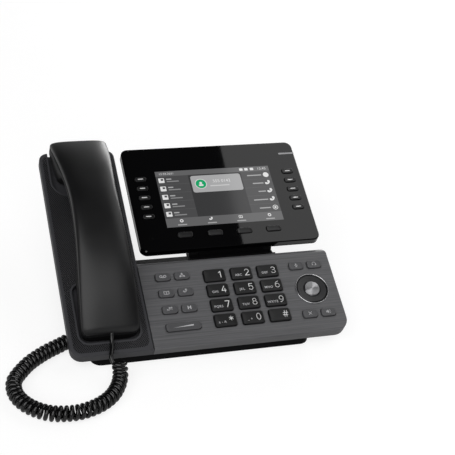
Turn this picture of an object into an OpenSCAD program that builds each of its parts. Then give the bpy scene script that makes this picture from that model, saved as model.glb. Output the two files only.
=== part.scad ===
// Desk telephone for network calls: a sloping body with a handset cradle on
// the left, a keypad on the right, and a display that tilts on a neck behind
// the keypad. Millimetres, +Z up, +X to the user's right, front towards -Y.
// Origin: centre of the body's footprint, on the table.
// Distances along the slope start at the front edge, and heights above the
// sloping top are measured square to it.

/* [Body] */
// Tilt of the sloping top above the table, in degrees
plate_tilt = 20; // [16:1:22]
// Overall width
body_w = 244; // [240:1:256]
// Length of the cradle half along the slope
body_len = 209; // [206:1:220]
// Length of the keypad half along the slope
keypad_len = 86.4; // [86:0.2:88]
// Width of the cradle half
cradle_w = 69; // [68:0.5:72]
// Height of the top's front edge above the table
front_z = 18; // [17:0.5:22]
// Depth of the covers' outer skirt
skirt_t = 9; // [8.6:0.2:10]
// Wall thickness of covers and housings
wall = 2.2; // [1.8:0.1:2.4]
// Thickness of the lower housing's floor
tray_t = 2.2; // [1.8:0.1:3]
// Dark line between the two covers
seam_gap = 0.3; // [0.2:0.1:0.6]
// Radius of the body's front corners
front_r = 12; // [8:1:14]
// Radius of the body's back corners
back_r = 7; // [5:1:8]
// Radius of the roll along the keypad half's back edge
roll_r = 7.6; // [6:0.2:8]
// Height of the chamfer round the covers' top edges
edge_bevel = 0.9; // [0.5:0.1:1.2]

/* [Cradle] */
// Depth of the two handset pockets
pocket_depth = 6; // [5:0.5:6.5]
// Width of the mouth-end pocket
mouth_pocket_w = 51.2; // [50.5:0.1:53]
// Length of the mouth-end pocket
mouth_pocket_len = 57; // [55:1:62]
// Distance from the front edge to the mouth-end pocket
mouth_pocket_s = 11.5; // [10.5:0.5:12]
// Width of the notch for the ear end
ear_notch_w = 53; // [51:0.5:54]
// Distance from the front edge to the notch's lower end
ear_notch_s = 161; // [158:1:163]
// Radius of the notch's lower corners
ear_notch_r = 15; // [10:1:18]
// Rise of the hook switch when the handset is lifted
hook_travel = 2.4; // [1.5:0.1:2.6]

/* [Handset] */
// Length of the handset
hs_len = 194; // [190:1:196]
// Half width of the grip at its waist
hs_waist = 17.3; // [15:0.1:20]
// Half width of the mouth end
hs_mouth_w = 24.2; // [22:0.1:24.6]
// Half width of the ear end
hs_ear_w = 23.2; // [21:0.1:24.4]
// Height of the parting line above the cradle at the top of the arch
hs_rise = 38; // [34:0.5:42]
// Radius of the arch
hs_arch_r = 199; // [190:1:230]
// Crown of the back above the parting line, at the middle
hs_crown = 9; // [7:0.5:11]
// Crown of the back at the ends
hs_end_crown = 6.5; // [5:0.5:8]
// Depth of the grip below the parting line
hs_grip = 9.5; // [8:0.5:11]
// Wall thickness of the handset's back
hs_wall = 2; // [1.5:0.1:2.5]
// Radius of the earpiece and the microphone capsule
capsule_r = 14; // [10:0.5:15]

/* [Keypad] */
// Column pitch of the number keys
key_pitch_x = 24.6; // [23:0.1:26]
// Row pitch of the number keys
key_pitch_s = 14.93; // [14:0.1:15.5]
// Width of a number key
key_w = 19.5; // [17:0.1:20]
// Length of a number key
key_d = 12.2; // [10:0.1:12.4]
// Corner radius of a number key
key_r = 2.3; // [1.5:0.1:3]
// Rise of the number keys above the cover
key_rise = 2; // [1.6:0.1:2.6]
// Width of a function key
fkey_w = 13.4; // [11:0.1:14]
// Length of a function key
fkey_d = 7.8; // [6:0.1:9]
// Rise of the function keys
fkey_rise = 1.7; // [1.4:0.1:2.2]
// Length of the volume rocker
volume_w = 30.5; // [26:0.5:31]
// Travel of the keys on the body
key_travel = 1; // [0.5:0.1:1.2]
// Gap round a key in its window
key_gap = 0.35; // [0.25:0.05:0.5]
// Radius of the navigation dial
nav_r = 15.2; // [13:0.1:15.6]
// Width of the bright trim ring round the dial
nav_trim = 1.1; // [0.8:0.1:1.6]
// Radius of the metal button in the dial
ok_r = 6.8; // [5:0.1:8]

/* [Display] */
// Width of the display housing
disp_w = 168.4; // [166:0.1:169]
// Height of the display housing
disp_h = 113.7; // [112:0.1:115]
// Thickness of the display's edge
disp_t = 10; // [9.5:0.5:11]
// Corner radius of the display
disp_r = 6.6; // [5:0.1:8]
// Gap between the display and the keypad cover
disp_gap = 8.4; // [8:0.2:10]
// Width of the screen's picture
screen_w = 110.7; // [105:0.1:112]
// Height of the screen's picture
screen_h = 62.3; // [58:0.1:64]
// Pitch of the line keys
line_pitch = 10.37; // [9.5:0.1:11]
// Pitch of the keys below the screen
soft_pitch = 27.9; // [26:0.1:29]
// Travel of the display's keys
disp_key_travel = 0.6; // [0.3:0.1:0.7]
// Hinge axis: distance up from the display's lower edge
hinge_up = 5.2; // [5:0.1:7]
// Hinge axis: depth below the display's face
hinge_deep = 15; // [14.8:0.1:16]
// Radius of the neck's hinge barrel
barrel_r = 5; // [4.6:0.1:5.2]
// Radius of the hinge pins
hinge_pin_r = 2; // [1.5:0.1:2.4]
// Width of the neck
neck_w = 78; // [70:1:84]

/* [Foot and sockets] */
// Inset of the foot's front from the body's front edge
foot_inset = 5.5; // [5:0.5:8]
// Left end of the foot
foot_x0 = -104; // [-106:1:-102]
// Right end of the foot
foot_x1 = 89; // [86:1:100]
// Back end of the foot on the table
foot_y1 = 34; // [32:1:36]
// Height of the foot's underside on its rubber pads
pad_rise = 1; // [0.6:0.1:1.5]
// Width of a network socket
socket_w = 11.8; // [11.6:0.1:12.2]
// Height of a network socket
socket_h = 8.4; // [8:0.1:9]
// Depth of a network socket
socket_deep = 13; // [11:0.5:14]

/* [Cord] */
// Thickness of the handset cord
cord_d = 3.6; // [3:0.1:4]
// Outer diameter of its coiled stretch
coil_d = 13; // [11:0.5:13]

/* [Hidden] */
$fn = 48;
eps = 0.01;
corner_n = 6;       // segments in a moulded outer corner
rest_gap = 0.3;     // clearance between a moving piece and its seat
flange = 1;         // lip round a key, under its cover
flange_t = 0.8;
skin = 2;           // thickness of the display's moulded walls
lip_h = 0.9;        // locating lip of the lower housing
hs_seat = 0.4;      // gap between the handset and the pocket floors

front_y = -(body_len * cos(plate_tilt) + skirt_t * sin(plate_tilt)) / 2;
x_left = -body_w / 2;
x_right = body_w / 2;
seam_x = x_left + cradle_w;
axis_x = (x_left + seam_x) / 2;     // middle of the cradle and the handset
tray_n = -skirt_t - tray_t;         // underside of the lower housing
pocket_floor = 1.8;

// number keys, function keys and dial
keys_x = x_right - 85;              // middle column
keys_s = 42.5;                      // middle of the four rows
fkeys_x = [keys_x - 70.4, keys_x - 53.4];
fkeys_s = [keys_s + 25.2, keys_s + 8.9, keys_s - 7.3];
rkeys_x = [keys_x + 52.3, keys_x + 69.5];
rkeys_s = [keys_s + 25.2, keys_s - 24.3];
volume_pos = [(fkeys_x[0] + fkeys_x[1]) / 2, keys_s - 24.3];
nav_pos = [(rkeys_x[0] + rkeys_x[1]) / 2, keys_s + 0.4];
fkey_r = 2.6;
key_bevel = 0.6;
key_stem = 0.4;                     // plunger under a key's flange
key_deep = wall + rest_gap + flange_t + key_stem;   // bottom of a key

// display, in distances along the slope
disp_x = x_right - 0.4 - disp_w / 2;
disp_s0 = keypad_len + disp_gap;
disp_s = disp_s0 + disp_h / 2;
front_t = 5.5;                      // thickness of the front moulding
disp_bevel = 0.8;
screen_x = disp_x - 1;
screen_s = disp_s - 1.85;
line_x = [disp_x - 71.2, disp_x + 71.9];
line_s = screen_s + 2.5;
line_w = 11;
line_d = 5;
line_r = 2.4;
soft_s = disp_s0 + 14.8;
soft_w = 14;
soft_d = 5.6;
soft_r = 2.4;
disp_key_rise = 1.1;
sensor_pos = [disp_x - 72.9, disp_s0 + 12.3];
hinge_s = disp_s0 + hinge_up;
hinge_run = 0.05;                   // radial clearance of the pins
knuckle_w = 7.6;
knuckle_gap = 0.4;
barrel_half = neck_w / 2 - knuckle_w - knuckle_gap;

// speaker, sockets and board
speaker_s = 115;
speaker_r = 18;
board_z = 14;
board_t = 1.6;
wall_y = -15.5;                     // back face of the socket wall
socket_xs = [-51, -34];
usb_x = -17;
usb_w = 12.6;
usb_h = 5.2;
socket_z = board_z + board_t + 6.4;
foot_wall = 2.5;
socket_y = wall_y - foot_wall - 0.3;    // faces of the sockets
jack_z = 9;                         // handset cord socket, left side
jack_y = -61;

// screws: places on the two covers, and in the foot
cradle_screws = [[axis_x - 22, 82], [axis_x + 22, 82], [axis_x - 22, 150], [axis_x + 22, 150]];
keypad_screws = [[seam_x + 7.5, 8], [keys_x - 40.6, keys_s], [keys_x + 40.4, keys_s + 24],
                 [x_right - 7.4, keys_s + 13.5], [seam_x + 7.5, 78]];
foot_screws = [[foot_x0 + 24, -72], [foot_x1 - 23, -72], [foot_x0 + 16, -30], [foot_x1 - 9, -46]];
boss_r = 3.4;
screw_r = 1.3;
screw_head_r = 2.7;
screw_head_t = 1.4;

// rubber pads under the foot
pad_w = 24;
pad_d = 9;
pad_recess = 0.8;
pads = [[foot_x0 + 19, -85], [foot_x1 - 19, -85], [foot_x0 + 19, 26], [foot_x1 - 19, 26]];

// route of the cord: lead out of the body, coiled loop, tail to the handset
lead_pts = [[-101.3, -61, 9], [-104.4, -61, 8.9], [-107.6, -61.6, 8.5]];
coil_pts = [
    [-108.5, -61.7, 8.4], [-117, -65.4, 7], [-126.7, -70.6, 6.6], [-136, -75.4, 6.6],
    [-144.6, -80.8, 6.6], [-154.5, -88.5, 6.6], [-163, -98.2, 6.6], [-168.4, -106.5, 6.6],
    [-169.9, -115.3, 6.6], [-168.4, -124.5, 6.6], [-163.7, -133.1, 6.6],
    [-157.4, -139.7, 6.6], [-150, -144.7, 6.6], [-142.8, -147.5, 6.6],
    [-135.2, -148.8, 6.6], [-127.4, -149.2, 6.6], [-119.5, -148.2, 6.6],
    [-110.6, -145.4, 6.6], [-102.4, -141.1, 6.6], [-95.4, -135.3, 6.6],
    [-90.2, -128.3, 6.6], [-86.4, -120.8, 6.9], [-84.6, -114.6, 9],
    [-84.4, -110.4, 12.6], [-85, -108.2, 17.6]];
tail_pts = [
    [-89.9, -107.6, 18.2], [-90.4, -106.2, 19.6], [-90.2, -103.6, 20.6], [-89.4, -100.4, 20.9],
    [-88.7, -97.6, 21.4], [-88.1, -94.1, 23], [-87.6, -91.5, 24.9], [-87.5, -90.2, 27]];

module on_plate() {
    translate([0, front_y, front_z]) rotate([plate_tilt, 0, 0]) children();
}

// prism from the height n0 to n1 above the sloping top
module slab(n0, n1) {
    translate([0, 0, n0]) linear_extrude(n1 - n0) children();
}

function arc(c, r, a0, a1, n) =
    [for (i = [0:n]) let (a = a0 + (a1 - a0) * i / n) c + r * [cos(a), sin(a)]];

// rectangle from (x0, s0) to (x1, s1) with its own radius at each corner:
// front left, front right, back right, back left
function outline(x0, s0, x1, s1, r) = concat(
    arc([x0 + r[0], s0 + r[0]], r[0], 180, 270, corner_n),
    arc([x1 - r[1], s0 + r[1]], r[1], 270, 360, corner_n),
    arc([x1 - r[2], s1 - r[2]], r[2], 0, 90, corner_n),
    arc([x0 + r[3], s1 - r[3]], r[3], 90, 180, corner_n));

module round_rect(w, d, r) {
    square([w - 2 * r, d], center = true);
    square([w, d - 2 * r], center = true);
    for (x = [-1, 1], y = [-1, 1]) translate([x * (w / 2 - r), y * (d / 2 - r)]) circle(r);
}

module slot(w, d) {
    square([w, d - w], center = true);
    for (y = [-1, 1]) translate([0, y * (d - w) / 2]) circle(w / 2);
}

// rectangle with few-sided corners, for the caps of keys
function cap_outline(w, d, r) = [for (q = [0:3], i = [0:3])
    let (a = q * 90 + i * 30, cx = (q == 0 || q == 3) ? 1 : -1, cy = q < 2 ? 1 : -1)
    [cx * (w / 2 - r) + r * cos(a), cy * (d / 2 - r) + r * sin(a)]];

// solid between the outline a at the height n0 and the outline b at n1
module frustum(a, n0, b, n1) {
    m = len(a);
    polyhedron(concat([for (p = a) [p[0], p[1], n0]], [for (p = b) [p[0], p[1], n1]]),
        concat([[for (i = [0:m - 1]) i]], [for (i = [0:m - 1]) let (j = (i + 1) % m)
            [i, i + m, j + m, j]], [[for (i = [m - 1:-1:0]) i + m]]));
}

// prism that narrows by b on every side at its top
module bevelled(w, d, r, n0, n1, b) {
    slab(n0, n1 - b) polygon(cap_outline(w, d, r));
    frustum(cap_outline(w, d, r), n1 - b, cap_outline(w - 2 * b, d - 2 * b, r - b / 2), n1);
}

/* ---- covers ---- */
cradle_r = [front_r - 2, 0.4, back_r, back_r + 1];
keypad_r = [0.4, front_r, back_r, 0.4];
function cradle_outline(i) = outline(x_left + i, i, seam_x - seam_gap - i, body_len - i,
    [for (r = cradle_r) max(r - i, 0.3)]);
function keypad_outline(i) = outline(seam_x + i, i, x_right - i, keypad_len - i,
    [for (r = keypad_r) max(r - i, 0.3)]);

// side view of the keypad half, inset by i, with the roll along its back edge
function keypad_side(i) = concat(
    [[-eps, -skirt_t - 1], [-eps, -edge_bevel - i], [edge_bevel + i * 0.4, -i]],
    arc([keypad_len - roll_r, -roll_r], roll_r - i, 90, 0, 8),
    [[keypad_len - i, -skirt_t - 1]]);

module keypad_solid(i) {
    intersection() {
        slab(-skirt_t - (i > 0 ? 1 : 0), 1) polygon(keypad_outline(i));
        rotate([90, 0, 90]) translate([0, 0, seam_x - 1])
            linear_extrude(body_w) polygon(keypad_side(i));
    }
}

module bosses(places) {
    for (p = places) translate([p[0], p[1], 0]) slab(-skirt_t, -wall / 2) circle(boss_r);
}

module pilot_holes(places) {
    for (p = places) translate([p[0], p[1], 0]) slab(-skirt_t - eps, -skirt_t + 4.5)
        circle(screw_r, $fn = 24);
}

module window(p, w, d, r) {
    translate([p[0], p[1], 0]) slab(-wall - 1, 1) round_rect(w + 2 * key_gap, d + 2 * key_gap, r);
}

number_places = [for (row = [0:3], col = [0:2])
    [keys_x + (col - 1) * key_pitch_x, keys_s + (1.5 - row) * key_pitch_s]];

// grey cover of the keypad half, with its key windows and stiffening ribs
module keypad_cover() {
    color("dimgray") on_plate() difference() {
        union() {
            difference() {
                keypad_solid(0);
                keypad_solid(wall);
            }
            intersection() {
                keypad_solid(0);
                union() {
                    bosses(keypad_screws);
                    for (x = [keys_x - 40.6, keys_x + 40.4])
                        translate([x - 0.7, wall, 0]) slab(-skirt_t + 3.6, -wall / 2)
                            square([1.4, keypad_len - roll_r - wall]);
                }
            }
        }
        for (p = number_places) window(p, key_w, key_d, key_r);
        for (x = fkeys_x, s = fkeys_s) window([x, s], fkey_w, fkey_d, fkey_r);
        for (x = rkeys_x, s = rkeys_s) window([x, s], fkey_w, fkey_d, fkey_r);
        window(volume_pos, volume_w, fkey_d, fkey_r);
        translate([nav_pos[0], nav_pos[1], 0]) slab(-wall - 1, 1) circle(nav_r);
        pilot_holes(keypad_screws);
    }
}

module mouth_pocket(i) {
    translate([axis_x, mouth_pocket_s + mouth_pocket_len / 2])
        round_rect(mouth_pocket_w + 2 * i, mouth_pocket_len + 2 * i, 8.5 + i);
}

module ear_notch(i) {
    w = ear_notch_w / 2 + i;
    s1 = body_len + (i > 0 ? -1 : 10);
    polygon(concat(
        arc([axis_x - w + ear_notch_r, ear_notch_s - i + ear_notch_r], ear_notch_r, 180, 270, 10),
        arc([axis_x + w - ear_notch_r, ear_notch_s - i + ear_notch_r], ear_notch_r, 270, 360, 10),
        [[axis_x + w, s1], [axis_x - w, s1]]));
}

hook_pos = [axis_x, ear_notch_s + 16];
hook_w = 9;
hook_d = 6;
hook_flange = 1.2;
hook_stem = 4.2;    // length of the plunger below the pocket floor's underside

// dark cover of the cradle half: a mouth pocket, an ear notch open at its end
module cradle_cover() {
    color("#2b2b2e") on_plate() difference() {
        union() {
            difference() {
                union() {
                    slab(-skirt_t, -edge_bevel) polygon(cradle_outline(0));
                    frustum(cradle_outline(0), -edge_bevel, cradle_outline(edge_bevel), 0);
                }
                slab(-skirt_t - 1, -wall) polygon(cradle_outline(wall));
            }
            slab(-pocket_depth - pocket_floor, -wall / 2) mouth_pocket(wall);
            slab(-pocket_depth - pocket_floor, -wall / 2) ear_notch(wall);
            bosses(cradle_screws);
        }
        slab(-pocket_depth, 1) mouth_pocket(0);
        slab(-pocket_depth, 1) ear_notch(0);
        translate([hook_pos[0], hook_pos[1], 0]) slab(-skirt_t, 1)
            round_rect(hook_w + 2 * rest_gap, hook_d + 2 * rest_gap, 1.5);
        pilot_holes(cradle_screws);
    }
}

/* ---- lower housing, foot and fasteners ---- */
// underside of the lower housing, as height above the table at the depth y
function tray_z(y) = front_z + tray_n / cos(plate_tilt) + (y - front_y) * tan(plate_tilt);

// height at which a post of the foot meets the housing's boss
function foot_joint_z(p) = tray_z(p[1]) - 4;

tray_inset = 1.5;

function tray_cradle() = outline(x_left + tray_inset, tray_inset, seam_x - seam_gap - tray_inset,
    body_len - tray_inset, [cradle_r[0] - tray_inset, 0.3, back_r - tray_inset, back_r - tray_inset]);
function tray_keypad() = outline(seam_x - 6, tray_inset, x_right - tray_inset, keypad_len - tray_inset,
    [0.3, front_r - tray_inset, back_r - tray_inset, 0.3]);

module lip(place, inner) {
    slab(-skirt_t - eps, -skirt_t + lip_h) difference() {
        polygon(place);
        polygon(inner);
    }
}

hook_well_n = -pocket_depth - pocket_floor - hook_stem - 0.3;   // floor of the plunger's well

module speaker_slots() {
    for (i = [-4:4]) let (half = sqrt(pow(speaker_r - 3, 2) - pow(i * 3.2, 2)))
        translate([axis_x + i * 3.2, speaker_s]) slot(1.6, 2 * half);
}

// black tray under both covers
module lower_housing() {
    color("#161618") difference() {
        union() {
            tray();
            intersection() {
                for (p = foot_screws) translate([p[0], p[1], foot_joint_z(p)]) cylinder(12, boss_r + 0.8, boss_r + 0.8);
                on_plate() slab(-60, -skirt_t - tray_t / 2) translate([x_left, 0]) square([body_w, body_len]);
            }
        }
        for (p = foot_screws) translate([p[0], p[1], foot_joint_z(p) - 1]) cylinder(5.5, screw_r, screw_r, $fn = 24);
    }
}

module tray() {
    on_plate() difference() {
        union() {
            slab(tray_n, -skirt_t) {
                polygon(tray_cradle());
                polygon(tray_keypad());
            }
            lip(cradle_outline(wall + 0.3), cradle_outline(wall + 1.6));
            lip(keypad_outline(wall + 0.3), keypad_outline(wall + 1.6));
            translate([hook_pos[0], hook_pos[1], 0]) slab(hook_well_n - 1.6, -skirt_t)
                round_rect(hook_w + 6.6, hook_d + 6.6, 2.5);
            // ribs that carry the keypad mat
            for (s = [14, 35, 50, 72]) translate([seam_x + 5, s - 0.6, 0])
                slab(-skirt_t - eps, mat_n0) square([body_w - cradle_w - 10, 1.2]);
        }
        translate([hook_pos[0], hook_pos[1], 0]) slab(hook_well_n, 1)
            round_rect(hook_w + 2 * hook_flange + 2 * rest_gap,
                       hook_d + 2 * hook_flange + 2 * rest_gap, 1.8);
        slab(tray_n - 1, 0) speaker_slots();
        for (p = concat(cradle_screws, keypad_screws)) translate([p[0], p[1], 0]) {
            slab(tray_n - 1, 1) circle(screw_r + 0.4, $fn = 24);
            translate([0, 0, tray_n - eps])
                cylinder(screw_head_t + eps, screw_head_r, screw_r + 0.4, $fn = 32);
        }
        // cooling slots behind the keypad
        for (i = [0:6]) translate([seam_x + 15 + i * 5.2, 78.5, 0]) slab(tray_n - 1, 1)
            slot(2, 7);
    }
}

foot_y0 = front_y + foot_inset;
tail_t = 6;                         // height of the foot's back end
neck_s0 = 64;                       // front end of the neck's root

// side view of the foot, inset by i: wedge, socket wall and low tail
module foot_side(i) {
    polygon([
        [foot_y0 + i, pad_rise + i],
        [foot_y0 + i, tray_z(foot_y0 + i) + (i > 0 ? 1 : -eps)],
        [wall_y - i, tray_z(wall_y - i) + (i > 0 ? 1 : -eps)],
        [wall_y - i, board_z - 1 - i],
        [foot_y1 - i, pad_rise + tail_t - i],
        [foot_y1 - i, pad_rise + i]]);
}

module foot_solid(i) {
    intersection() {
        translate([foot_x0 - 1, 0, 0]) rotate([90, 0, 90]) linear_extrude(body_w) foot_side(i);
        linear_extrude(90) polygon(outline(foot_x0 + i, foot_y0 + i, foot_x1 - i, foot_y1 - i,
            [9 - i, 9 - i, 15 - i, 15 - i]));
    }
}

module socket_places(grow, y0, y1) {
    for (x = socket_xs) translate([x - socket_w / 2 - grow, y0, socket_z - socket_h / 2 - grow])
        cube([socket_w + 2 * grow, y1 - y0, socket_h + 2 * grow]);
    translate([usb_x - usb_w / 2 - grow, y0, socket_z - usb_h / 2 - grow])
        cube([usb_w + 2 * grow, y1 - y0, usb_h + 2 * grow]);
}

module foot_posts() {
    for (p = foot_screws) translate([p[0], p[1], pad_rise + 1])
        cylinder(foot_joint_z(p) - pad_rise - 1, boss_r + 0.8, boss_r + 0.8);
    for (x = [-60, 64], y = [-58, -24]) translate([x, y, pad_rise + 1])
        cylinder(board_z - pad_rise - 1, 3, 3);
    for (x = [-64, -20, 24, 62]) {
        translate([x, foot_y0 + 1, pad_rise + 1]) cube([1.6, 24, 4.2]);
        translate([x, wall_y - 1, pad_rise + 1]) cube([1.6, foot_y1 - wall_y, 4.2]);
    }
}

// black wedge that carries the body on the table
module foot_stand() {
    color("#101012") difference() {
        union() {
            difference() {
                foot_solid(0);
                foot_solid(foot_wall);
            }
            foot_posts();
        }
        on_plate() translate([disp_x - barrel_half - 0.5, neck_s0 - 0.5, tray_n - 11])
            cube([2 * barrel_half + 1, 40, 12]);
        socket_places(1.2, wall_y - 4, wall_y + 1);
        translate([foot_x0 - 1, jack_y - 4.6, jack_z - 4]) cube([5, 9.2, 8]);
        for (p = foot_screws) translate([p[0], p[1], 0]) {
            translate([0, 0, -1]) cylinder(60, screw_r, screw_r, $fn = 24);
            translate([0, 0, -1]) cylinder(pad_rise + 2.4 + 1, screw_head_r + 0.3, screw_head_r + 0.3);
        }
        for (p = pads) translate([p[0], p[1], -1]) linear_extrude(pad_rise + pad_recess + 1)
            round_rect(pad_w + 0.4, pad_d + 0.4, 3.2);
        // wall-hanging keyholes
        for (x = [-66, 51]) translate([x, -52, -1]) {
            cylinder(6, 4, 4);
            translate([-2.1, 0, 0]) cube([4.2, 11, 6]);
        }
    }
}

// four rubber pads in recesses under the foot
module rubber_feet() {
    color("#262628") for (p = pads) translate([p[0], p[1], 0])
        linear_extrude(pad_rise + pad_recess) round_rect(pad_w, pad_d, 3);
}

// countersunk screws up through the lower housing, pan-head screws in the foot
module housing_screws() {
    color("silver") {
        on_plate() for (p = concat(cradle_screws, keypad_screws)) translate([p[0], p[1], tray_n]) {
            cylinder(screw_head_t, screw_head_r - 0.1, screw_r, $fn = 32);
            cylinder(tray_t + 4, screw_r, screw_r, $fn = 24);
        }
        for (p = foot_screws) translate([p[0], p[1], pad_rise + 2.4 - 1.8]) {
            cylinder(1.8, screw_head_r, screw_head_r, $fn = 32);
            cylinder(foot_joint_z(p) - pad_rise + 3, screw_r, screw_r, $fn = 24);
        }
    }
}

/* ---- electronics ---- */
mat_n0 = -skirt_t + 1.4;
mat_n1 = -key_deep - key_travel - rest_gap;    // top of the mat's domes

// circuit board with its sockets, and the handset cord's socket
module main_board() {
    color("#1f4a35") difference() {
        union() {
            translate([-66, -64, board_z]) cube([138, 64 + wall_y - 3, board_t]);
            translate([-59, socket_y - 17, board_z + board_t - eps]) cube([50, 17, 12.8]);
            translate([10, -52, board_z + board_t]) cube([16, 16, 2]);
            translate([34, -50, board_z + board_t]) cube([11, 13, 1.6]);
            translate([foot_x0 + foot_wall + 0.3, jack_y - 6, pad_rise + foot_wall]) cube([13, 12, 11]);
        }
        socket_places(0, socket_y - socket_deep, socket_y + 2);
    }
}

// silicone mat with a dome under every key
module keypad_mat() {
    color("#8a8d90") on_plate() {
        slab(mat_n0, mat_n0 + 0.9) difference() {
            translate([seam_x + 5.5, 5]) square([body_w - cradle_w - 12, keypad_len - 17]);
            for (p = keypad_screws) translate(p) circle(boss_r + 0.6);
        }
        for (p = concat(number_places,
                        [for (x = fkeys_x, s = fkeys_s) [x, s]],
                        [for (x = rkeys_x, s = rkeys_s) [x, s]],
                        [volume_pos - [8, 0], volume_pos + [8, 0], nav_pos],
                        [for (a = [0:90:270]) nav_pos + (nav_r - 4) * [cos(a), sin(a)]]))
            translate([p[0], p[1], mat_n0 + 0.9 - eps])
                cylinder(mat_n1 - mat_n0 - 0.9 + eps, 2.8, 2, $fn = 24);
    }
}

// plunger in the ear notch that the handset holds down
module hook_switch() {
    n0 = hook_well_n + 0.3;
    color("#3a3a3c") on_plate() translate([hook_pos[0], hook_pos[1], 0]) {
        slab(n0, -pocket_depth - 0.05) round_rect(hook_w, hook_d, 1.3);
        slab(n0, n0 + 1) round_rect(hook_w + 2 * hook_flange, hook_d + 2 * hook_flange, 1.5);
    }
}

// flat loudspeaker over the slots of the lower housing
module loudspeaker() {
    color("#2f3033") on_plate() translate([axis_x, speaker_s, -skirt_t]) rotate_extrude($fn = 64)
        polygon(concat([[0, 1.8]], arc([0, -6], 8.6, 65, 50, 3),
            [[12.5, 1.3], [15, 0], [speaker_r, 0], [speaker_r, 1.4], [15.5, 2],
             [9.5, 4.2], [9.5, 6.2], [0, 6.2]]));
}

// bright ring fixed in the cover round the dial
module nav_trim_ring() {
    color("silver") on_plate() translate([nav_pos[0], nav_pos[1], 0]) rotate_extrude($fn = 96)
        polygon(concat([[nav_r - nav_trim, -wall], [nav_r, -wall]],
            arc([nav_r - nav_trim / 2, 0.5], nav_trim / 2, 0, 180, 8)));
}

/* ---- keys ---- */
// cap standing in its window, with a lip under the cover
module key_cap(p, w, d, r, rise, top, stem = 0, gap = rest_gap) {
    on_plate() translate([p[0], p[1], -top - gap - flange_t]) {
        bevelled(w, d, r, flange_t / 2, flange_t + gap + top + rise, key_bevel);
        slab(0, flange_t) round_rect(w + 2 * flange, d + 2 * flange, r);
        if (stem > 0) slab(-stem, flange_t / 2) circle(1.6, $fn = 24);
    }
}

module number_key(i) {
    color("#1c1c1e") key_cap(number_places[i], key_w, key_d, key_r, key_rise, wall, key_stem);
}

module function_key(x, s) {
    color("#55565a") key_cap([x, s], fkey_w, fkey_d, fkey_r, fkey_rise, wall, key_stem);
}

// long key that rocks about its middle
module volume_key() {
    color("#55565a") key_cap(volume_pos, volume_w, fkey_d, fkey_r, fkey_rise, wall, gap = rock_gap);
}

rock_gap = 0.8;     // room under the cover for pieces that rock
ring_gap = 0.4;
ring_outer = nav_r - nav_trim - ring_gap;
ring_inner = ok_r + ring_gap;

// black ring of the dial: dished, with a lip under the trim ring
module nav_ring() {
    n0 = -wall - rock_gap - 0.8;
    color("#18181a") on_plate() translate([nav_pos[0], nav_pos[1], 0]) rotate_extrude($fn = 96)
        polygon([[ring_inner, n0], [ring_outer + 1, n0], [ring_outer + 1, n0 + 0.8],
                 [ring_outer, n0 + 0.8], [ring_outer, 0.7], [ring_outer - 0.6, 1.2],
                 [ring_inner + 1, 0.9], [ring_inner, 0.5]]);
}

// turned metal button in the middle of the dial
module nav_ok() {
    n0 = -wall - rest_gap - 0.9;
    color("silver") on_plate() translate([nav_pos[0], nav_pos[1], 0]) rotate_extrude($fn = 96)
        polygon([[0, n0 - 0.3], [ok_r - 0.8, n0 - 0.3], [ok_r - 0.8, -1.5], [ok_r, -1], [ok_r, 1],
                 [ok_r - 0.5, 1.5], [0, 1.1]]);
}

module line_key(side, i) {
    color("#151517") key_cap([line_x[side], line_s + (2 - i) * line_pitch],
        line_w, line_d, line_r, disp_key_rise, skin);
}

module soft_key(i) {
    color("#1d1d1f") key_cap([disp_x + (i - 1.5) * soft_pitch, soft_s],
        soft_w, soft_d, soft_r, disp_key_rise, skin);
}

/* ---- display ---- */
function disp_outline(i) = outline(disp_x - disp_w / 2 + i, disp_s0 + i, disp_x + disp_w / 2 - i,
    disp_s0 + disp_h - i, [for (k = [0:3]) disp_r - i * 0.6]);

module disp_window(p, w, d, r) {
    translate([p[0], p[1], 0]) slab(-skin - 1, 1) round_rect(w + 2 * key_gap, d + 2 * key_gap, r);
}

// glossy front with the screen's window glass moulded flush
module display_front() {
    color("#0b0b0d") on_plate() difference() {
        union() {
            slab(-front_t, -disp_bevel) polygon(disp_outline(0));
            frustum(disp_outline(0), -disp_bevel, disp_outline(disp_bevel), 0);
        }
        slab(-front_t - 1, -skin) polygon(disp_outline(2.4));
        for (side = [0, 1], i = [0:4])
            disp_window([line_x[side], line_s + (2 - i) * line_pitch], line_w, line_d, line_r);
        for (i = [0:3]) disp_window([disp_x + (i - 1.5) * soft_pitch, soft_s], soft_w, soft_d, soft_r);
        translate([sensor_pos[0], sensor_pos[1], 0]) slab(-0.4, 1) circle(2);
    }
}

lcd_t = 3;
key_floor = skin + rest_gap + flange_t + disp_key_travel + 0.4;    // free depth under a display key
// screen module against the inside of the window
module lcd_panel() {
    color("#3a3f44") on_plate() translate([screen_x, screen_s, 0]) {
        slab(-skin - lcd_t, -skin) square([screen_w + 8, screen_h + 7], center = true);
        translate([0, -screen_h / 2 - 5, 0]) slab(-skin - lcd_t, -key_floor)
            square([34, 7], center = true);
    }
}

module knuckles() {
    for (side = [-1, 1]) hull() {
        translate([disp_x + side * (neck_w / 2 - knuckle_w / 2) - knuckle_w / 2, hinge_s, -hinge_deep])
            rotate([0, 90, 0]) cylinder(knuckle_w, barrel_r, barrel_r);
        translate([disp_x + side * (neck_w / 2 - knuckle_w / 2) - knuckle_w / 2, hinge_s + 2, -disp_t])
            cube([knuckle_w, 12, 1]);
    }
}

// raised panel on the display's back, inset by i
function back_panel(i) = outline(disp_x - 66 + i, hinge_s + 16 + i, disp_x + 66 - i,
    disp_s0 + disp_h - 14 - i, [for (k = [0:3]) 9 - i / 2]);

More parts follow.
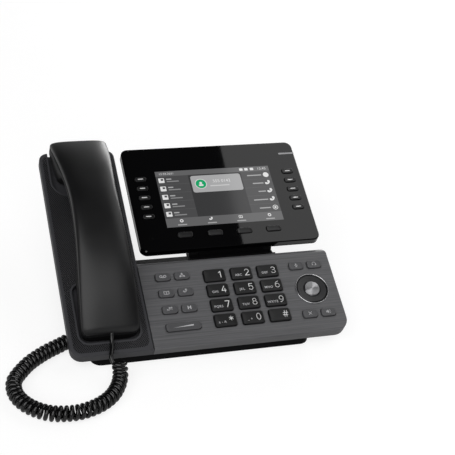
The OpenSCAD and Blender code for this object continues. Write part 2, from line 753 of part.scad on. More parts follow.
// black back shell of the display, with hinge knuckles and a raised back
module display_rear_cover() {
    raise = 3.4;
    color("#141416") on_plate() difference() {
        union() {
            slab(-front_t - 1.5, -front_t) polygon(disp_outline(0));
            frustum(disp_outline(4), -disp_t, disp_outline(0), -front_t - 1.5);
            frustum(back_panel(4), -disp_t - raise, back_panel(0), -disp_t);
            knuckles();
        }
        slab(-disp_t + skin, 1) polygon(disp_outline(4));
        translate([disp_x - barrel_half - knuckle_gap, hinge_s, -hinge_deep]) rotate([0, 90, 0])
            cylinder(2 * (barrel_half + knuckle_gap), barrel_r + 0.6, barrel_r + 0.6);
        translate([disp_x - neck_w / 2 - 1, hinge_s, -hinge_deep]) rotate([0, 90, 0])
            cylinder(neck_w + 2, hinge_pin_r + hinge_run, hinge_pin_r + hinge_run);
        for (i = [-8:8]) translate([disp_x + i * 6, disp_s0 + disp_h - 30, 0])
            slab(-disp_t - raise - 1, -disp_t + skin + 1) slot(2, 14);
    }
}

// side view of the neck: root under the lower housing, scooped arm
module neck_side() {
    lift = 6.2;
    polygon([[neck_s0, tray_n], [keypad_len - 0.9, tray_n], [neck_edge, tray_n + 1.4],
        [neck_edge, tray_n + lift], [neck_edge + 0.5, tray_n + lift], [neck_edge + 3.2, tray_n + 0.4],
        [hinge_s - 4.4, tray_n - 1.8], [hinge_s, -hinge_deep],
        [hinge_s, -hinge_deep - barrel_r], [hinge_s - 10, -hinge_deep - barrel_r - 1],
        [neck_s0, -hinge_deep - barrel_r - 1]]);
}

neck_edge = keypad_len + 0.5;       // where the neck rises behind the cover

// neck: narrow root and hinge barrel, with a wide shoulder behind the cover
module display_neck() {
    color("#0e0e10") on_plate() difference() {
        union() {
            translate([disp_x - barrel_half, 0, 0]) rotate([90, 0, 90]) linear_extrude(2 * barrel_half)
                neck_side();
            translate([disp_x - neck_w / 2, 0, 0]) rotate([90, 0, 90]) linear_extrude(neck_w)
                intersection() {
                    neck_side();
                    translate([neck_edge, -40]) square([hinge_s - barrel_r - 0.7 - neck_edge, 60]);
                }
            translate([disp_x - barrel_half, hinge_s, -hinge_deep]) rotate([0, 90, 0])
                cylinder(2 * barrel_half, barrel_r, barrel_r);
        }
        for (side = [-1, 1]) translate([disp_x + side * (barrel_half - 8) - 8.2, hinge_s, -hinge_deep])
            rotate([0, 90, 0]) cylinder(16.4, hinge_pin_r, hinge_pin_r);
    }
}

// two steel pins pressed into the neck's barrel
module hinge_pins() {
    color("silver") on_plate()
        for (side = [-1, 1]) translate([disp_x + side * (neck_w / 2 - 12) - 11.6, hinge_s, -hinge_deep])
            rotate([0, 90, 0]) cylinder(23.2, hinge_pin_r, hinge_pin_r);
}

/* ---- handset ---- */
hs_s0 = mouth_pocket_s + 2;
hs_s1 = hs_s0 + hs_len;
hs_waist_s = hs_s0 + 106;
hs_top_s = hs_s0 + 101.5;
hs_foot_n = -pocket_depth + hs_seat;
hs_p = 3;           // exponent of the rounded section

function clamp01(t) = max(0, min(1, t));
function smooth(t) = let (u = clamp01(t)) u * u * (3 - 2 * u);
function from_end(s) = min(s - hs_s0, hs_s1 - s);
function round_end(d, r) = d >= r ? 1 : sqrt(1 - pow(1 - d / r, 2));
function hs_part(s) = hs_rise - pow(s - hs_top_s, 2) / (2 * hs_arch_r);
function hs_swell(s, w) = (w - hs_waist) * (1 - cos(180 * clamp01(
    abs(s - hs_waist_s) / (s < hs_waist_s ? hs_waist_s - hs_s0 : hs_s1 - hs_waist_s)))) / 2;
function hs_half(s) = hs_waist + hs_swell(s, s < hs_waist_s ? hs_mouth_w : hs_ear_w)
    - 8 * (1 - round_end(from_end(s), 8));
function hs_up(s) = 1.6 + (hs_end_crown - 1.6 + (hs_crown - hs_end_crown)
    * (1 - pow((s - hs_top_s) / (hs_len / 2 + 4), 2))) * round_end(from_end(s), 6);
function hs_down(s) = hs_grip + (hs_part(s) - hs_foot_n - hs_grip)
    * smooth((abs(s - hs_top_s) - 42) / 18) - 2.2 * (1 - round_end(from_end(s), 3));

hs_k = 12;          // steps across a section
hs_stations = concat([for (d = [0, 0.6, 1.8, 3.6, 6, 9]) hs_s0 + d],
    [for (i = [1:16]) hs_s0 + 9 + (hs_len - 18) * i / 17],
    [for (d = [9, 6, 3.6, 1.8, 0.6, 0]) hs_s1 - d]);

function bulge(v) = sign(v) * pow(abs(v), 2 / hs_p);

// solid through sections: half widths ws, heights hs above (up = 1) or below
// (up = -1) the line ns, at the distances ss
module loft(ss, ws, ns, hs, up) {
    m = len(ss);
    k = hs_k + 1;
    points = [for (i = [0:m - 1], j = [0:hs_k]) let (a = 180 * j / hs_k)
        [axis_x + ws[i] * bulge(cos(a)), ss[i], ns[i] + up * hs[i] * bulge(sin(a))]];
    skin_faces = [for (i = [0:m - 2], j = [0:hs_k]) let (a = i * k + j, b = i * k + (j + 1) % k)
        [a, a + k, b + k, b]];
    faces = concat([[for (j = [0:hs_k]) j]], skin_faces,
        [[for (j = [hs_k:-1:0]) (m - 1) * k + j]]);
    polyhedron(points, up < 0 ? faces : [for (f = faces) [for (i = [len(f) - 1:-1:0]) f[i]]]);
}

// arched back of the handset, hollow from below
module handset_outer_shell() {
    inner = [for (s = hs_stations) if (from_end(s) > hs_wall) s];
    drop = 0.8;     // how far the hollow runs out below the parting line
    color("#3b3b3e") on_plate() difference() {
        loft(hs_stations, [for (s = hs_stations) hs_half(s)], [for (s = hs_stations) hs_part(s)],
            [for (s = hs_stations) hs_up(s)], 1);
        loft(inner, [for (s = inner) hs_half(s) - hs_wall], [for (s = inner) hs_part(s) - drop],
            [for (s = inner) hs_up(s) - hs_wall + drop], 1);
    }
}

mouth_s = hs_s0 + 24;
ear_s = hs_s1 - 23;
capsule_n = hs_foot_n + 1.8;        // floor under a capsule

// grip side of the handset with the mouth and ear ends
module handset_inner_shell() {
    color("#1b1b1d") on_plate() difference() {
        loft(hs_stations, [for (s = hs_stations) hs_half(s)], [for (s = hs_stations) hs_part(s)],
            [for (s = hs_stations) hs_down(s)], -1);
        for (s = [mouth_s, ear_s]) translate([axis_x, s, 0]) {
            slab(capsule_n, hs_rise) circle(capsule_r);
            slab(hs_foot_n - 1, capsule_n + eps) {
                circle(1.1, $fn = 16);
                for (a = [0:60:300]) translate(4.6 * [cos(a), sin(a)]) circle(1.1, $fn = 16);
            }
        }
    }
}

// earpiece and microphone capsules
module handset_capsules() {
    color("#77787a") on_plate() for (s = [mouth_s, ear_s]) translate([axis_x, s, capsule_n])
        rotate_extrude() polygon([[3, 0], [capsule_r, 0], [capsule_r, 4.5], [8, 6.5], [0, 6.5], [0, 1.2], [3, 1.2]]);
}

/* ---- cord ---- */
function unit(v) = v / norm(v);
function tangent(p, i) = unit(p[min(i + 1, len(p) - 1)] - p[max(i - 1, 0)]);

// tube of radius r swept along the points p, with its ends closed
module tube(p, r, sides) {
    m = len(p);
    points = [for (i = [0:m - 1]) let (t = tangent(p, i), u = unit(cross(t, [0.3, 0.2, 1])), v = cross(t, u))
        for (j = [0:sides - 1]) let (a = 360 * j / sides) p[i] + r * (cos(a) * u + sin(a) * v)];
    faces = concat([[for (j = [0:sides - 1]) j]],
        [for (i = [0:m - 2], j = [0:sides - 1]) let (a = i * sides + j, b = i * sides + (j + 1) % sides)
            [a, a + sides, b + sides, b]],
        [[for (j = [sides - 1:-1:0]) (m - 1) * sides + j]]);
    polyhedron(points, faces);
}

// straight ends of the cord: out of the body, and up to the handset
module cord_tail() {
    color("#0c0c0d") {
        tube(lead_pts, cord_d / 2, 8);
        tube(tail_pts, cord_d / 2, 8);
    }
}

// outer shape of the coiled stretch, lying in a loop
module cord_coil() {
    color("#0c0c0d") tube(coil_pts, coil_d / 2, 12);
}

lower_housing();
keypad_cover();
cradle_cover();
foot_stand();
rubber_feet();
housing_screws();
main_board();
keypad_mat();
hook_switch();
nav_trim_ring();
loudspeaker();
display_neck();
hinge_pins();
display_front();
display_rear_cover();
lcd_panel();
handset_outer_shell();
handset_inner_shell();
handset_capsules();
cord_tail();
cord_coil();
number_key(0);  // key_1
number_key(1);  // key_2
number_key(2);  // key_3
number_key(3);  // key_4
number_key(4);  // key_5
number_key(5);  // key_6
number_key(6);  // key_7
number_key(7);  // key_8
number_key(8);  // key_9
number_key(9);  // key_star
number_key(10);  // key_0
number_key(11);  // key_hash
function_key(fkeys_x[0], fkeys_s[0]);  // key_voicemail
function_key(fkeys_x[1], fkeys_s[0]);  // key_conference
function_key(fkeys_x[0], fkeys_s[1]);  // key_directory
function_key(fkeys_x[1], fkeys_s[1]);  // key_redial
function_key(fkeys_x[0], fkeys_s[2]);  // key_transfer
function_key(fkeys_x[1], fkeys_s[2]);  // key_hold
volume_key();
function_key(rkeys_x[0], rkeys_s[0]);  // key_mute
function_key(rkeys_x[1], rkeys_s[0]);  // key_headset
function_key(rkeys_x[0], rkeys_s[1]);  // key_cancel
function_key(rkeys_x[1], rkeys_s[1]);  // key_speaker
nav_ring();
nav_ok();
line_key(0, 0);  // line_key_left_1
line_key(0, 1);  // line_key_left_2
line_key(0, 2);  // line_key_left_3
line_key(0, 3);  // line_key_left_4
line_key(0, 4);  // line_key_left_5
line_key(1, 0);  // line_key_right_1
line_key(1, 1);  // line_key_right_2
line_key(1, 2);  // line_key_right_3
line_key(1, 3);  // line_key_right_4
line_key(1, 4);  // line_key_right_5
soft_key(0);  // soft_key_1
soft_key(1);  // soft_key_2
soft_key(2);  // soft_key_3
soft_key(3);  // soft_key_4
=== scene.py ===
import math

import bpy
import numpy as np
from mathutils import Matrix, Quaternion, Vector


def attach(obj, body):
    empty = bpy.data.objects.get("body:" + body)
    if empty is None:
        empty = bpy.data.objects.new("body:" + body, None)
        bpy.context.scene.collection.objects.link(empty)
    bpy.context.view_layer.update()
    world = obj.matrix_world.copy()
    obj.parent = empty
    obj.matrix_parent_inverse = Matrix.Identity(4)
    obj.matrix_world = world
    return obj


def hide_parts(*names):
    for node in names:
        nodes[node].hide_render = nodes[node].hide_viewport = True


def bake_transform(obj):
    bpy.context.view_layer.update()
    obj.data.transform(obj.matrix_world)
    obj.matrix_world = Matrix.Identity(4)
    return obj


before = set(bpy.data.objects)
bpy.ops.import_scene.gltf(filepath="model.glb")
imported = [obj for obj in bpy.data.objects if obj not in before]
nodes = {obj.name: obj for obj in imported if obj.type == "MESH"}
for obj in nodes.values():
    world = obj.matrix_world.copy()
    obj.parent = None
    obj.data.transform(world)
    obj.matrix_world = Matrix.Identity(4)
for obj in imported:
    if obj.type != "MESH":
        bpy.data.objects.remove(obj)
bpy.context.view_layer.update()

# Sizes in millimetres, as the part's source has them. x runs across the phone,
# s up its sloping top from the front edge, and n square to that top.
TILT = math.radians(20)
FRONT_Y, FRONT_Z = -99.737, 18.0
ACROSS = np.array([1.0, 0.0, 0.0])
UP_SLOPE = np.array([0.0, math.cos(TILT), math.sin(TILT)])
OUT = np.array([0.0, -math.sin(TILT), math.cos(TILT)])
X_LEFT, SEAM_X = -122.0, -53.0       # the cradle's half runs from the left edge to the seam
AXIS_X = -87.5                       # middle of the handset and of its cradle
KEYS_X, KEYS_S = 37.0, 42.5          # middle of the twelve number keys
KEY_PITCH_X, KEY_PITCH_S = 24.6, 14.93


def on_plate(x, s, n):
    """Place of a point in metres: x across, s up the slope, n out of the sloping top."""
    x, s, n = np.broadcast_arrays(np.asarray(x, float), s, n)
    start = np.array([0.0, FRONT_Y, FRONT_Z])
    return (start + x[..., None] * ACROSS + s[..., None] * UP_SLOPE + n[..., None] * OUT) * 0.001


def linear(hex_colour):
    """sRGB hex to linear RGBA: below 0.04 a straight line, above it a power of 2.4."""
    v = [int(hex_colour[i:i + 2], 16) / 255 for i in (1, 3, 5)]
    return [c / 12.92 if c <= 0.04045 else ((c + 0.055) / 1.055) ** 2.4 for c in v] + [1.0]


# ---------------------------------------- meshes

def new_mesh(name, verts, faces, smooth=True):
    """Object at the origin from an array of points and an array of faces."""
    mesh = bpy.data.meshes.new(name)
    mesh.from_pydata(np.asarray(verts, float).tolist(), [], [list(map(int, f)) for f in faces])
    mesh.polygons.foreach_set("use_smooth", np.full(len(mesh.polygons), smooth))
    mesh.update()
    piece = bpy.data.objects.new(name, mesh)
    bpy.context.scene.collection.objects.link(piece)
    return piece


def place(piece, material, body, slot, *replaced):
    """Gives a piece its finish, rides it on a body, and lets it stand for CAD nodes; slot is not used."""
    if material is not None:
        piece.data.materials.append(material)
    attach(piece, body)
    if replaced:
        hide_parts(*replaced)
    return piece


def skin_faces(rows, cols, wrap=True):
    """Quads between neighbouring rows of a grid of points, whose columns close on themselves if wrap."""
    i = np.arange(rows - 1)[:, None] * cols
    j = np.arange(cols if wrap else cols - 1)[None, :]
    k = (j + 1) % cols
    return np.stack([i + j, i + k, i + cols + k, i + cols + j], -1).reshape(-1, 4)


def rounded_outline(w, d, r, steps=7):
    """Points round a rectangle w by d whose corners are quarter circles of radius r, counter-clockwise."""
    a = np.linspace(0, math.pi / 2, steps)
    quarter = [(1, 1), (-1, 1), (-1, -1), (1, -1)]
    parts = []
    for q, (cx, cy) in enumerate(quarter):
        t = a + q * math.pi / 2
        parts.append(np.stack([cx * (w / 2 - r) + r * np.cos(t), cy * (d / 2 - r) + r * np.sin(t)], -1))
    return np.concatenate(parts)


def cap_mesh(name, x, s, w, d, r, rise, edge, dish, bottom, corner_steps=7):
    """Key cap: nested rounded rectangles from the middle of its top outwards, a top that sinks by
    dish towards the middle, a quarter-circle edge of radius edge, and sides down to bottom."""
    steps = [(edge + (1 - f) * (min(w, d) / 2 - edge - 0.05), rise - dish * (1 - f * f))
             for f in (0.04, 0.3, 0.55, 0.75, 0.9, 1.0)]
    steps += [(edge * (1 - math.sin(a)), rise - edge * (1 - math.cos(a)))
              for a in np.linspace(0, math.pi / 2, 6)[1:]]
    steps.append((0.0, bottom))
    ring = np.array([rounded_outline(w - 2 * inset, d - 2 * inset, max(r - inset, 0.03), corner_steps)
                     for inset, height in steps])
    n = np.array([height for inset, height in steps])[:, None]
    points = on_plate(x + ring[..., 0], s + ring[..., 1], n)
    rows, cols = ring.shape[:2]
    faces = skin_faces(rows, cols)[:, ::-1].tolist()
    faces.append(list(range(cols)))
    faces.append([(rows - 1) * cols + j for j in range(cols)][::-1])
    return new_mesh(name, points.reshape(-1, 3), faces)


def flat_art(name, strokes, discs, x, s, n, width, turn=0.0):
    """Flat drawing a little above a face: every stroke is a band of constant width along its points,
    with round ends, and every disc is (x, y, radius, inner radius)."""
    verts, faces = [], []

    def add(points, cells):
        base = sum(len(v) for v in verts)
        verts.append(points)
        faces.extend([[base + c for c in cell] for cell in cells])

    for points in strokes:
        p = np.asarray(points, float)
        half = width / 2
        for a, b in zip(p[:-1], p[1:]):
            t = (b - a) / (np.linalg.norm(b - a) + 1e-9)
            side = np.array([-t[1], t[0]]) * half
            add(np.array([a - side, b - side, b + side, a + side]), [[0, 1, 2, 3]])
        ring = np.linspace(0, 2 * math.pi, 9)[:-1]
        for q in p:
            add(q + half * np.stack([np.cos(ring), np.sin(ring)], -1), [list(range(8))])
    ring = np.linspace(0, 2 * math.pi, 33)[:-1]
    circle = np.stack([np.cos(ring), np.sin(ring)], -1)
    for cx, cy, radius, inner in discs:
        if inner > 0:
            both = np.concatenate([circle * inner, circle * radius]) + [cx, cy]
            add(both, [[j, 32 + j, 32 + (j + 1) % 32, (j + 1) % 32] for j in range(32)])
        else:
            add(circle * radius + [cx, cy], [list(range(32))])
    flat = np.concatenate(verts)
    c, sn = math.cos(turn), math.sin(turn)
    u, v = flat[:, 0] * c - flat[:, 1] * sn, flat[:, 0] * sn + flat[:, 1] * c
    return new_mesh(name, on_plate(x + u, s + v, n), faces, smooth=False)


CAPITAL = 0.72              # height of a capital, where the font's size is 1


def lettering(name, words, height, x, s, n, spread=1.0, bold=0.0):
    """Flat figures made a mesh, with their middle at (x, s) and the capital height given."""
    curve = bpy.data.curves.new(name, "FONT")
    curve.body = words
    curve.align_x, curve.align_y = "CENTER", "CENTER"
    curve.space_character = spread
    curve.offset = bold
    curve.resolution_u = 3
    text = bpy.data.objects.new(name + "_text", curve)
    bpy.context.scene.collection.objects.link(text)
    bpy.context.view_layer.update()
    mesh = bpy.data.meshes.new_from_object(text)
    bpy.data.objects.remove(text)
    co = np.zeros(len(mesh.vertices) * 3)
    mesh.vertices.foreach_get("co", co)
    co = co.reshape(-1, 3)
    scale = height / CAPITAL
    middle = (co.min(0) + co.max(0)) / 2
    co = on_plate(x + (co[:, 0] - middle[0]) * scale, s + (co[:, 1] - middle[1]) * scale, n)
    mesh.vertices.foreach_set("co", co.ravel())
    mesh.name = name
    mesh.update()
    piece = bpy.data.objects.new(name, mesh)
    bpy.context.scene.collection.objects.link(piece)
    return piece


# ---------------------------------------- materials

def node(mat, kind, links=(), **settings):
    """Adds one node, sets its properties and its inputs by name, or by number as i1, i2 and so on,
    and links (input, source, output)."""
    made = mat.node_tree.nodes.new(kind)
    for key, value in settings.items():
        by_number = key[0] == "i" and key[1:].isdigit()
        if hasattr(made, key):
            setattr(made, key, value)
        else:
            made.inputs[int(key[1:]) if by_number else key.replace("_", " ")].default_value = value
    for where, source, out in links:
        mat.node_tree.links.new(source.outputs[out], made.inputs[where])
    return made


def material(name, colour, roughness, **shader):
    """Principled material with its fixed values on the shader's own sockets."""
    mat = bpy.data.materials.new(name)
    mat.use_nodes = True
    bsdf = mat.node_tree.nodes["Principled BSDF"]
    bsdf.inputs["Base Color"].default_value = linear(colour)
    bsdf.inputs["Roughness"].default_value = roughness
    for key, value in shader.items():
        bsdf.inputs[key.replace("_", " ")].default_value = value
    return mat, bsdf


def plate_coordinates(mat):
    """Object coordinates turned back by the slope, in millimetres: x across, y up the slope, z out."""
    place_of = node(mat, "ShaderNodeTexCoord")
    return node(mat, "ShaderNodeMapping", [("Vector", place_of, "Object")], vector_type="TEXTURE",
                Location=on_plate(0.0, 0.0, 0.0).tolist(), Rotation=(TILT, 0, 0), Scale=(0.001, 0.001, 0.001))


def moulded_grain(mat, bsdf, grain, depth, colour, lighter, roughness, spread):
    """Fine spark-eroded grain: bump from noise of the grain's size in mm, and a slow drift of the
    colour and the gloss over about 25 mm, as handled plastic has."""
    coords = node(mat, "ShaderNodeTexCoord")
    fine = node(mat, "ShaderNodeTexNoise", [("Vector", coords, "Object")], Scale=1000 / grain, Detail=2.0)
    bump = node(mat, "ShaderNodeBump", [("Height", fine, "Fac")], Strength=0.35, Distance=depth * 0.001)
    slow = node(mat, "ShaderNodeTexNoise", [("Vector", coords, "Object")], Scale=40.0, Detail=3.0)
    tint = node(mat, "ShaderNodeMix", [("Factor", slow, "Fac")], data_type="RGBA")
    tint.inputs["A"].default_value = linear(colour)
    tint.inputs["B"].default_value = linear(lighter)
    gloss = node(mat, "ShaderNodeMapRange", [("Value", slow, "Fac")], i1=0.3, i2=0.7,
                 i3=roughness - spread, i4=roughness + spread)
    links = mat.node_tree.links
    links.new(tint.outputs["Result"], bsdf.inputs["Base Color"])
    links.new(gloss.outputs["Result"], bsdf.inputs["Roughness"])
    links.new(bump.outputs["Normal"], bsdf.inputs["Normal"])


def plastic(name, colour, lighter, roughness, spread=0.04, grain=0.35, depth=0.02, **shader):
    """Moulded plastic or rubber: a plain material with its grain."""
    mat, bsdf = material(name, colour, roughness, **shader)
    moulded_grain(mat, bsdf, grain, depth, colour, lighter, roughness, spread)
    return mat


# ABS with a satin eroded texture: broad soft highlights, no mirror image
handset_abs = plastic("satin_abs_handset_back", "#101011", "#141415", 0.36, 0.03, 0.4,
                      Specular_IOR_Level=0.4)
grip_abs = plastic("grained_abs_handset_grip", "#0b0b0c", "#0f0f10", 0.45, 0.04, 0.4, 0.03,
                   Specular_IOR_Level=0.15)
housing_abs = plastic("grained_abs_housing_black", "#0a0a0b", "#0e0e0f", 0.5, 0.05, 0.5, 0.03,
                      Specular_IOR_Level=0.05)
display_back_abs = plastic("grained_abs_display_back", "#0d0d0e", "#111112", 0.45, 0.05, 0.5, 0.03,
                           Specular_IOR_Level=0.12)
number_key_abs = plastic("satin_abs_number_keys", "#0c0c0d", "#101011", 0.38, 0.03, 0.3, 0.01,
                         Specular_IOR_Level=0.4)
function_key_abs = plastic("satin_abs_function_keys", "#4a4a4c", "#505052", 0.42, 0.03, 0.3, 0.01)
display_key_abs = plastic("satin_abs_display_keys", "#0e0e0f", "#121213", 0.3, 0.03, 0.3, 0.01)
dial_abs = plastic("satin_abs_dial_ring", "#161618", "#1a1a1c", 0.34, 0.03, 0.3, 0.01)
# nitrile pads: matt, faintly dusty
pad_rubber = plastic("moulded_nitrile_pads", "#1d1d1d", "#262626", 0.75, 0.05, 0.8, 0.05)
# silicone keypad sheet: grey, soft sheen
mat_silicone = plastic("moulded_silicone_sheet", "#8a8d90", "#94979a", 0.5, 0.05, 0.8, 0.02)
# glass-epoxy board under green solder mask
board_epoxy = plastic("solder_mask_board", "#17442e", "#1c5036", 0.3, 0.05, 1.2, 0.02)
# paper cone of the loudspeaker: matt, fibrous
speaker_paper = plastic("pressed_paper_cone", "#2a2a2c", "#343436", 0.7, 0.05, 0.6, 0.05)
# PVC jacket, extruded: glossy black with tight highlights along each turn
cord_pvc = plastic("extruded_pvc_jacket", "#070708", "#0b0b0c", 0.2, 0.04, 1.5, 0.01)


def textured_cradle():
    """Charcoal ABS, eroded with a net of small diamonds that stops about 2 mm short of every edge:
    the ribs between them are left standing, and the diamonds' middles are painted near-black as painted shade
    in the pits."""
    diamond_w, diamond_h, deepest = 1.8, 2.6, 0.00025
    # rounded rectangles: x and s of the middle, half width, half length and radius of the corners
    face = ((X_LEFT + SEAM_X) / 2 - 0.2, 104.5, 31.6, 101.2, 6.5)
    mouth_pocket = (AXIS_X, 40.0, 25.6, 28.5, 8.5)
    ear_notch = (AXIS_X, 231.0, 26.5, 70.0, 15.0)
    rim = 1.6                            # plain rim left round the pocket and the notch
    mat, bsdf = material("diamond_textured_abs_cradle", "#2c2c2f", 0.45, Specular_IOR_Level=0.2)
    at = plate_coordinates(mat)
    part = node(mat, "ShaderNodeSeparateXYZ", [("Vector", at, "Vector")])

    def maths(op, *inputs):
        made = node(mat, "ShaderNodeMath", operation=op)
        for i, v in enumerate(inputs):
            if isinstance(v, (int, float)):
                made.inputs[i].default_value = v
            else:
                mat.node_tree.links.new(v, made.inputs[i])
        return made.outputs[0]

    x, s, n = part.outputs["X"], part.outputs["Y"], part.outputs["Z"]
    u = maths("COSINE", maths("MULTIPLY", x, 2 * math.pi / diamond_w))
    v = maths("COSINE", maths("MULTIPLY", s, 2 * math.pi / diamond_h))
    # the two cosines are equal along the diamonds' sides and differ most in their middles
    diamond = maths("MINIMUM", maths("MULTIPLY", maths("ABSOLUTE", maths("SUBTRACT", u, v)), 0.85), 1.0)

    def rounded_distance(cx, cs, hw, hs, r):
        centre = node(mat, "ShaderNodeVectorMath", [(0, at, "Vector")], operation="SUBTRACT")
        centre.inputs[1].default_value = (cx, cs, 0)
        size = node(mat, "ShaderNodeVectorMath", [(0, centre, 0)], operation="ABSOLUTE")
        past = node(mat, "ShaderNodeVectorMath", [(0, size, 0)], operation="SUBTRACT")
        past.inputs[1].default_value = (hw - r, hs - r, 1000)
        outside = node(mat, "ShaderNodeVectorMath", [(0, past, 0)], operation="MAXIMUM")
        length = node(mat, "ShaderNodeVectorMath", [(0, outside, 0)], operation="LENGTH")
        return maths("SUBTRACT", length.outputs["Value"], r)

    inside = maths("LESS_THAN", rounded_distance(*face), 0.0)
    clear_mouth = maths("GREATER_THAN", rounded_distance(*mouth_pocket), rim)
    clear_ear = maths("GREATER_THAN", rounded_distance(*ear_notch), rim)
    on_top = maths("GREATER_THAN", n, -0.2)
    region = maths("MULTIPLY", maths("MULTIPLY", inside, clear_mouth), maths("MULTIPLY", clear_ear, on_top))
    # the same mask sinks the diamonds and paints their middles near-black: painted shade in the pits
    diamond_pits_and_shade = maths("MULTIPLY", diamond, region)
    tint = node(mat, "ShaderNodeMix", data_type="RGBA")
    mat.node_tree.links.new(diamond_pits_and_shade, tint.inputs["Factor"])
    tint.inputs["A"].default_value = linear("#404043")
    # B is painted shade, the near-black of a shaded pit, not the plastic's own colour
    tint.inputs["B"].default_value = linear("#030304")
    deep = maths("SUBTRACT", 1.0, diamond_pits_and_shade)
    bump = node(mat, "ShaderNodeBump", Strength=0.9, Distance=deepest)
    mat.node_tree.links.new(deep, bump.inputs["Height"])
    mat.node_tree.links.new(tint.outputs["Result"], bsdf.inputs["Base Color"])
    mat.node_tree.links.new(bump.outputs["Normal"], bsdf.inputs["Normal"])
    return mat


def brushed_cover():
    """Mid-grey painted ABS with fine streaks across the phone: noise drawn out 75 times along x."""
    mat, bsdf = material("streaked_painted_abs_cover", "#636365", 0.42, Specular_IOR_Level=0.4)
    at = plate_coordinates(mat)
    stretch = node(mat, "ShaderNodeMapping", [("Vector", at, "Vector")], Scale=(0.01, 0.75, 0.75))
    streak = node(mat, "ShaderNodeTexNoise", [("Vector", stretch, "Vector")], Scale=1.0, Detail=6.0,
                  Roughness=0.7)
    ramp = node(mat, "ShaderNodeMapRange", [("Value", streak, "Fac")], i1=0.3, i2=0.7)
    tint = node(mat, "ShaderNodeMix", [("Factor", ramp, "Result")], data_type="RGBA")
    tint.inputs["A"].default_value = linear("#4a4a4c")
    tint.inputs["B"].default_value = linear("#6c6c6e")
    gloss = node(mat, "ShaderNodeMapRange", [("Value", streak, "Fac")], i1=0.3, i2=0.7, i3=0.36, i4=0.48)
    bump = node(mat, "ShaderNodeBump", [("Height", streak, "Fac")], Strength=0.25, Distance=0.00006)
    links = mat.node_tree.links
    links.new(tint.outputs["Result"], bsdf.inputs["Base Color"])
    links.new(gloss.outputs["Result"], bsdf.inputs["Roughness"])
    links.new(bump.outputs["Normal"], bsdf.inputs["Normal"])
    return mat


def piano_black():
    """Polished black PMMA: a mirror-like face with the faintest waviness of moulding, about 20 mm long."""
    mat, bsdf = material("polished_pmma_black", "#050506", 0.03, IOR=1.49)
    coords = node(mat, "ShaderNodeTexCoord")
    wave = node(mat, "ShaderNodeTexNoise", [("Vector", coords, "Object")], Scale=35.0, Detail=1.0)
    gloss = node(mat, "ShaderNodeMapRange", [("Value", wave, "Fac")], i1=0.3, i2=0.7, i3=0.02, i4=0.035)
    mat.node_tree.links.new(gloss.outputs["Result"], bsdf.inputs["Roughness"])
    return mat


def spun_metal(name, colour, roughness):
    """Bare metal faced on a lathe: its fine rings stretch each highlight across them, so that bright
    and dark wedges meet in the middle. The rings are 0.08 mm apart; they show as gloss alone."""
    mat, bsdf = material(name, colour, roughness, Metallic=1.0, Anisotropic=1.0)
    across = node(mat, "ShaderNodeTangent", direction_type="UV_MAP", uv_map="UVMap")
    mat.node_tree.links.new(across.outputs["Tangent"], bsdf.inputs["Tangent"])
    rings = node(mat, "ShaderNodeUVMap", uv_map="UVMap")
    fine = node(mat, "ShaderNodeMapping", [("Vector", rings, "UV")], Scale=(90.0, 1.0, 1.0))
    noise = node(mat, "ShaderNodeTexNoise", [("Vector", fine, "Vector")], Scale=1.0, Detail=3.0)
    gloss = node(mat, "ShaderNodeMapRange", [("Value", noise, "Fac")], i1=0.3, i2=0.7,
                 i3=roughness - 0.06, i4=roughness + 0.06)
    mat.node_tree.links.new(gloss.outputs["Result"], bsdf.inputs["Roughness"])
    return mat


def worn_metal(name, colour, roughness):
    """Plated or ground steel, its gloss broken up by noise a few millimetres across."""
    mat, bsdf = material(name, colour, roughness, Metallic=1.0)
    coords = node(mat, "ShaderNodeTexCoord")
    noise = node(mat, "ShaderNodeTexNoise", [("Vector", coords, "Object")], Scale=300.0, Detail=3.0)
    gloss = node(mat, "ShaderNodeMapRange", [("Value", noise, "Fac")], i1=0.3, i2=0.7,
                 i3=roughness * 0.7, i4=roughness * 1.4)
    mat.node_tree.links.new(gloss.outputs["Result"], bsdf.inputs["Roughness"])
    return mat


cradle_abs = textured_cradle()
cover_abs = brushed_cover()
display_pmma = piano_black()
dial_chrome = worn_metal("bright_chrome_plate", "#d8d8da", 0.09)
dial_aluminium = spun_metal("spun_aluminium", "#bcbcbe", 0.48)
screw_zinc = worn_metal("zinc_plated_steel", "#a8a8a4", 0.35)
pin_steel = worn_metal("ground_steel", "#b0b0b2", 0.2)
capsule_metal = worn_metal("pressed_aluminium_can", "#8c8c8e", 0.4)
# screen printing ink on the keys: flat off-white
ink_white = material("screen_printed_white", "#f4f4f4", 0.5)[0]
ink_grey = material("screen_printed_light_grey", "#c4c4c6", 0.5)[0]


def lit_panel(name, colour, strength=1.0):
    """A lit patch of the colour screen behind its glass: black itself, it shines with its own colour."""
    mat, bsdf = material(name, "#020202", 0.09, IOR=1.49)
    bsdf.inputs["Emission Color"].default_value = linear(colour)
    bsdf.inputs["Emission Strength"].default_value = strength
    return mat


screen_dark = lit_panel("lit_lcd_dark_grey", "#383839")
screen_row = lit_panel("lit_lcd_row_grey", "#49494a")
screen_bar = lit_panel("lit_lcd_bar_grey", "#606061")
screen_card = lit_panel("lit_lcd_card_grey", "#a6a6a7")
screen_line = lit_panel("lit_lcd_rule_grey", "#5e5e5f")
screen_words = lit_panel("lit_lcd_small_words", "#868687")
screen_pale = lit_panel("lit_lcd_pale_grey", "#c8c8c8")
screen_white = lit_panel("lit_lcd_white", "#dcdcdc")
screen_green = lit_panel("lit_lcd_green", "#18a066")
# frosted acrylic over the message light, unlit
status_light = material("frosted_acrylic_light", "#a4a4a6", 0.4)[0]

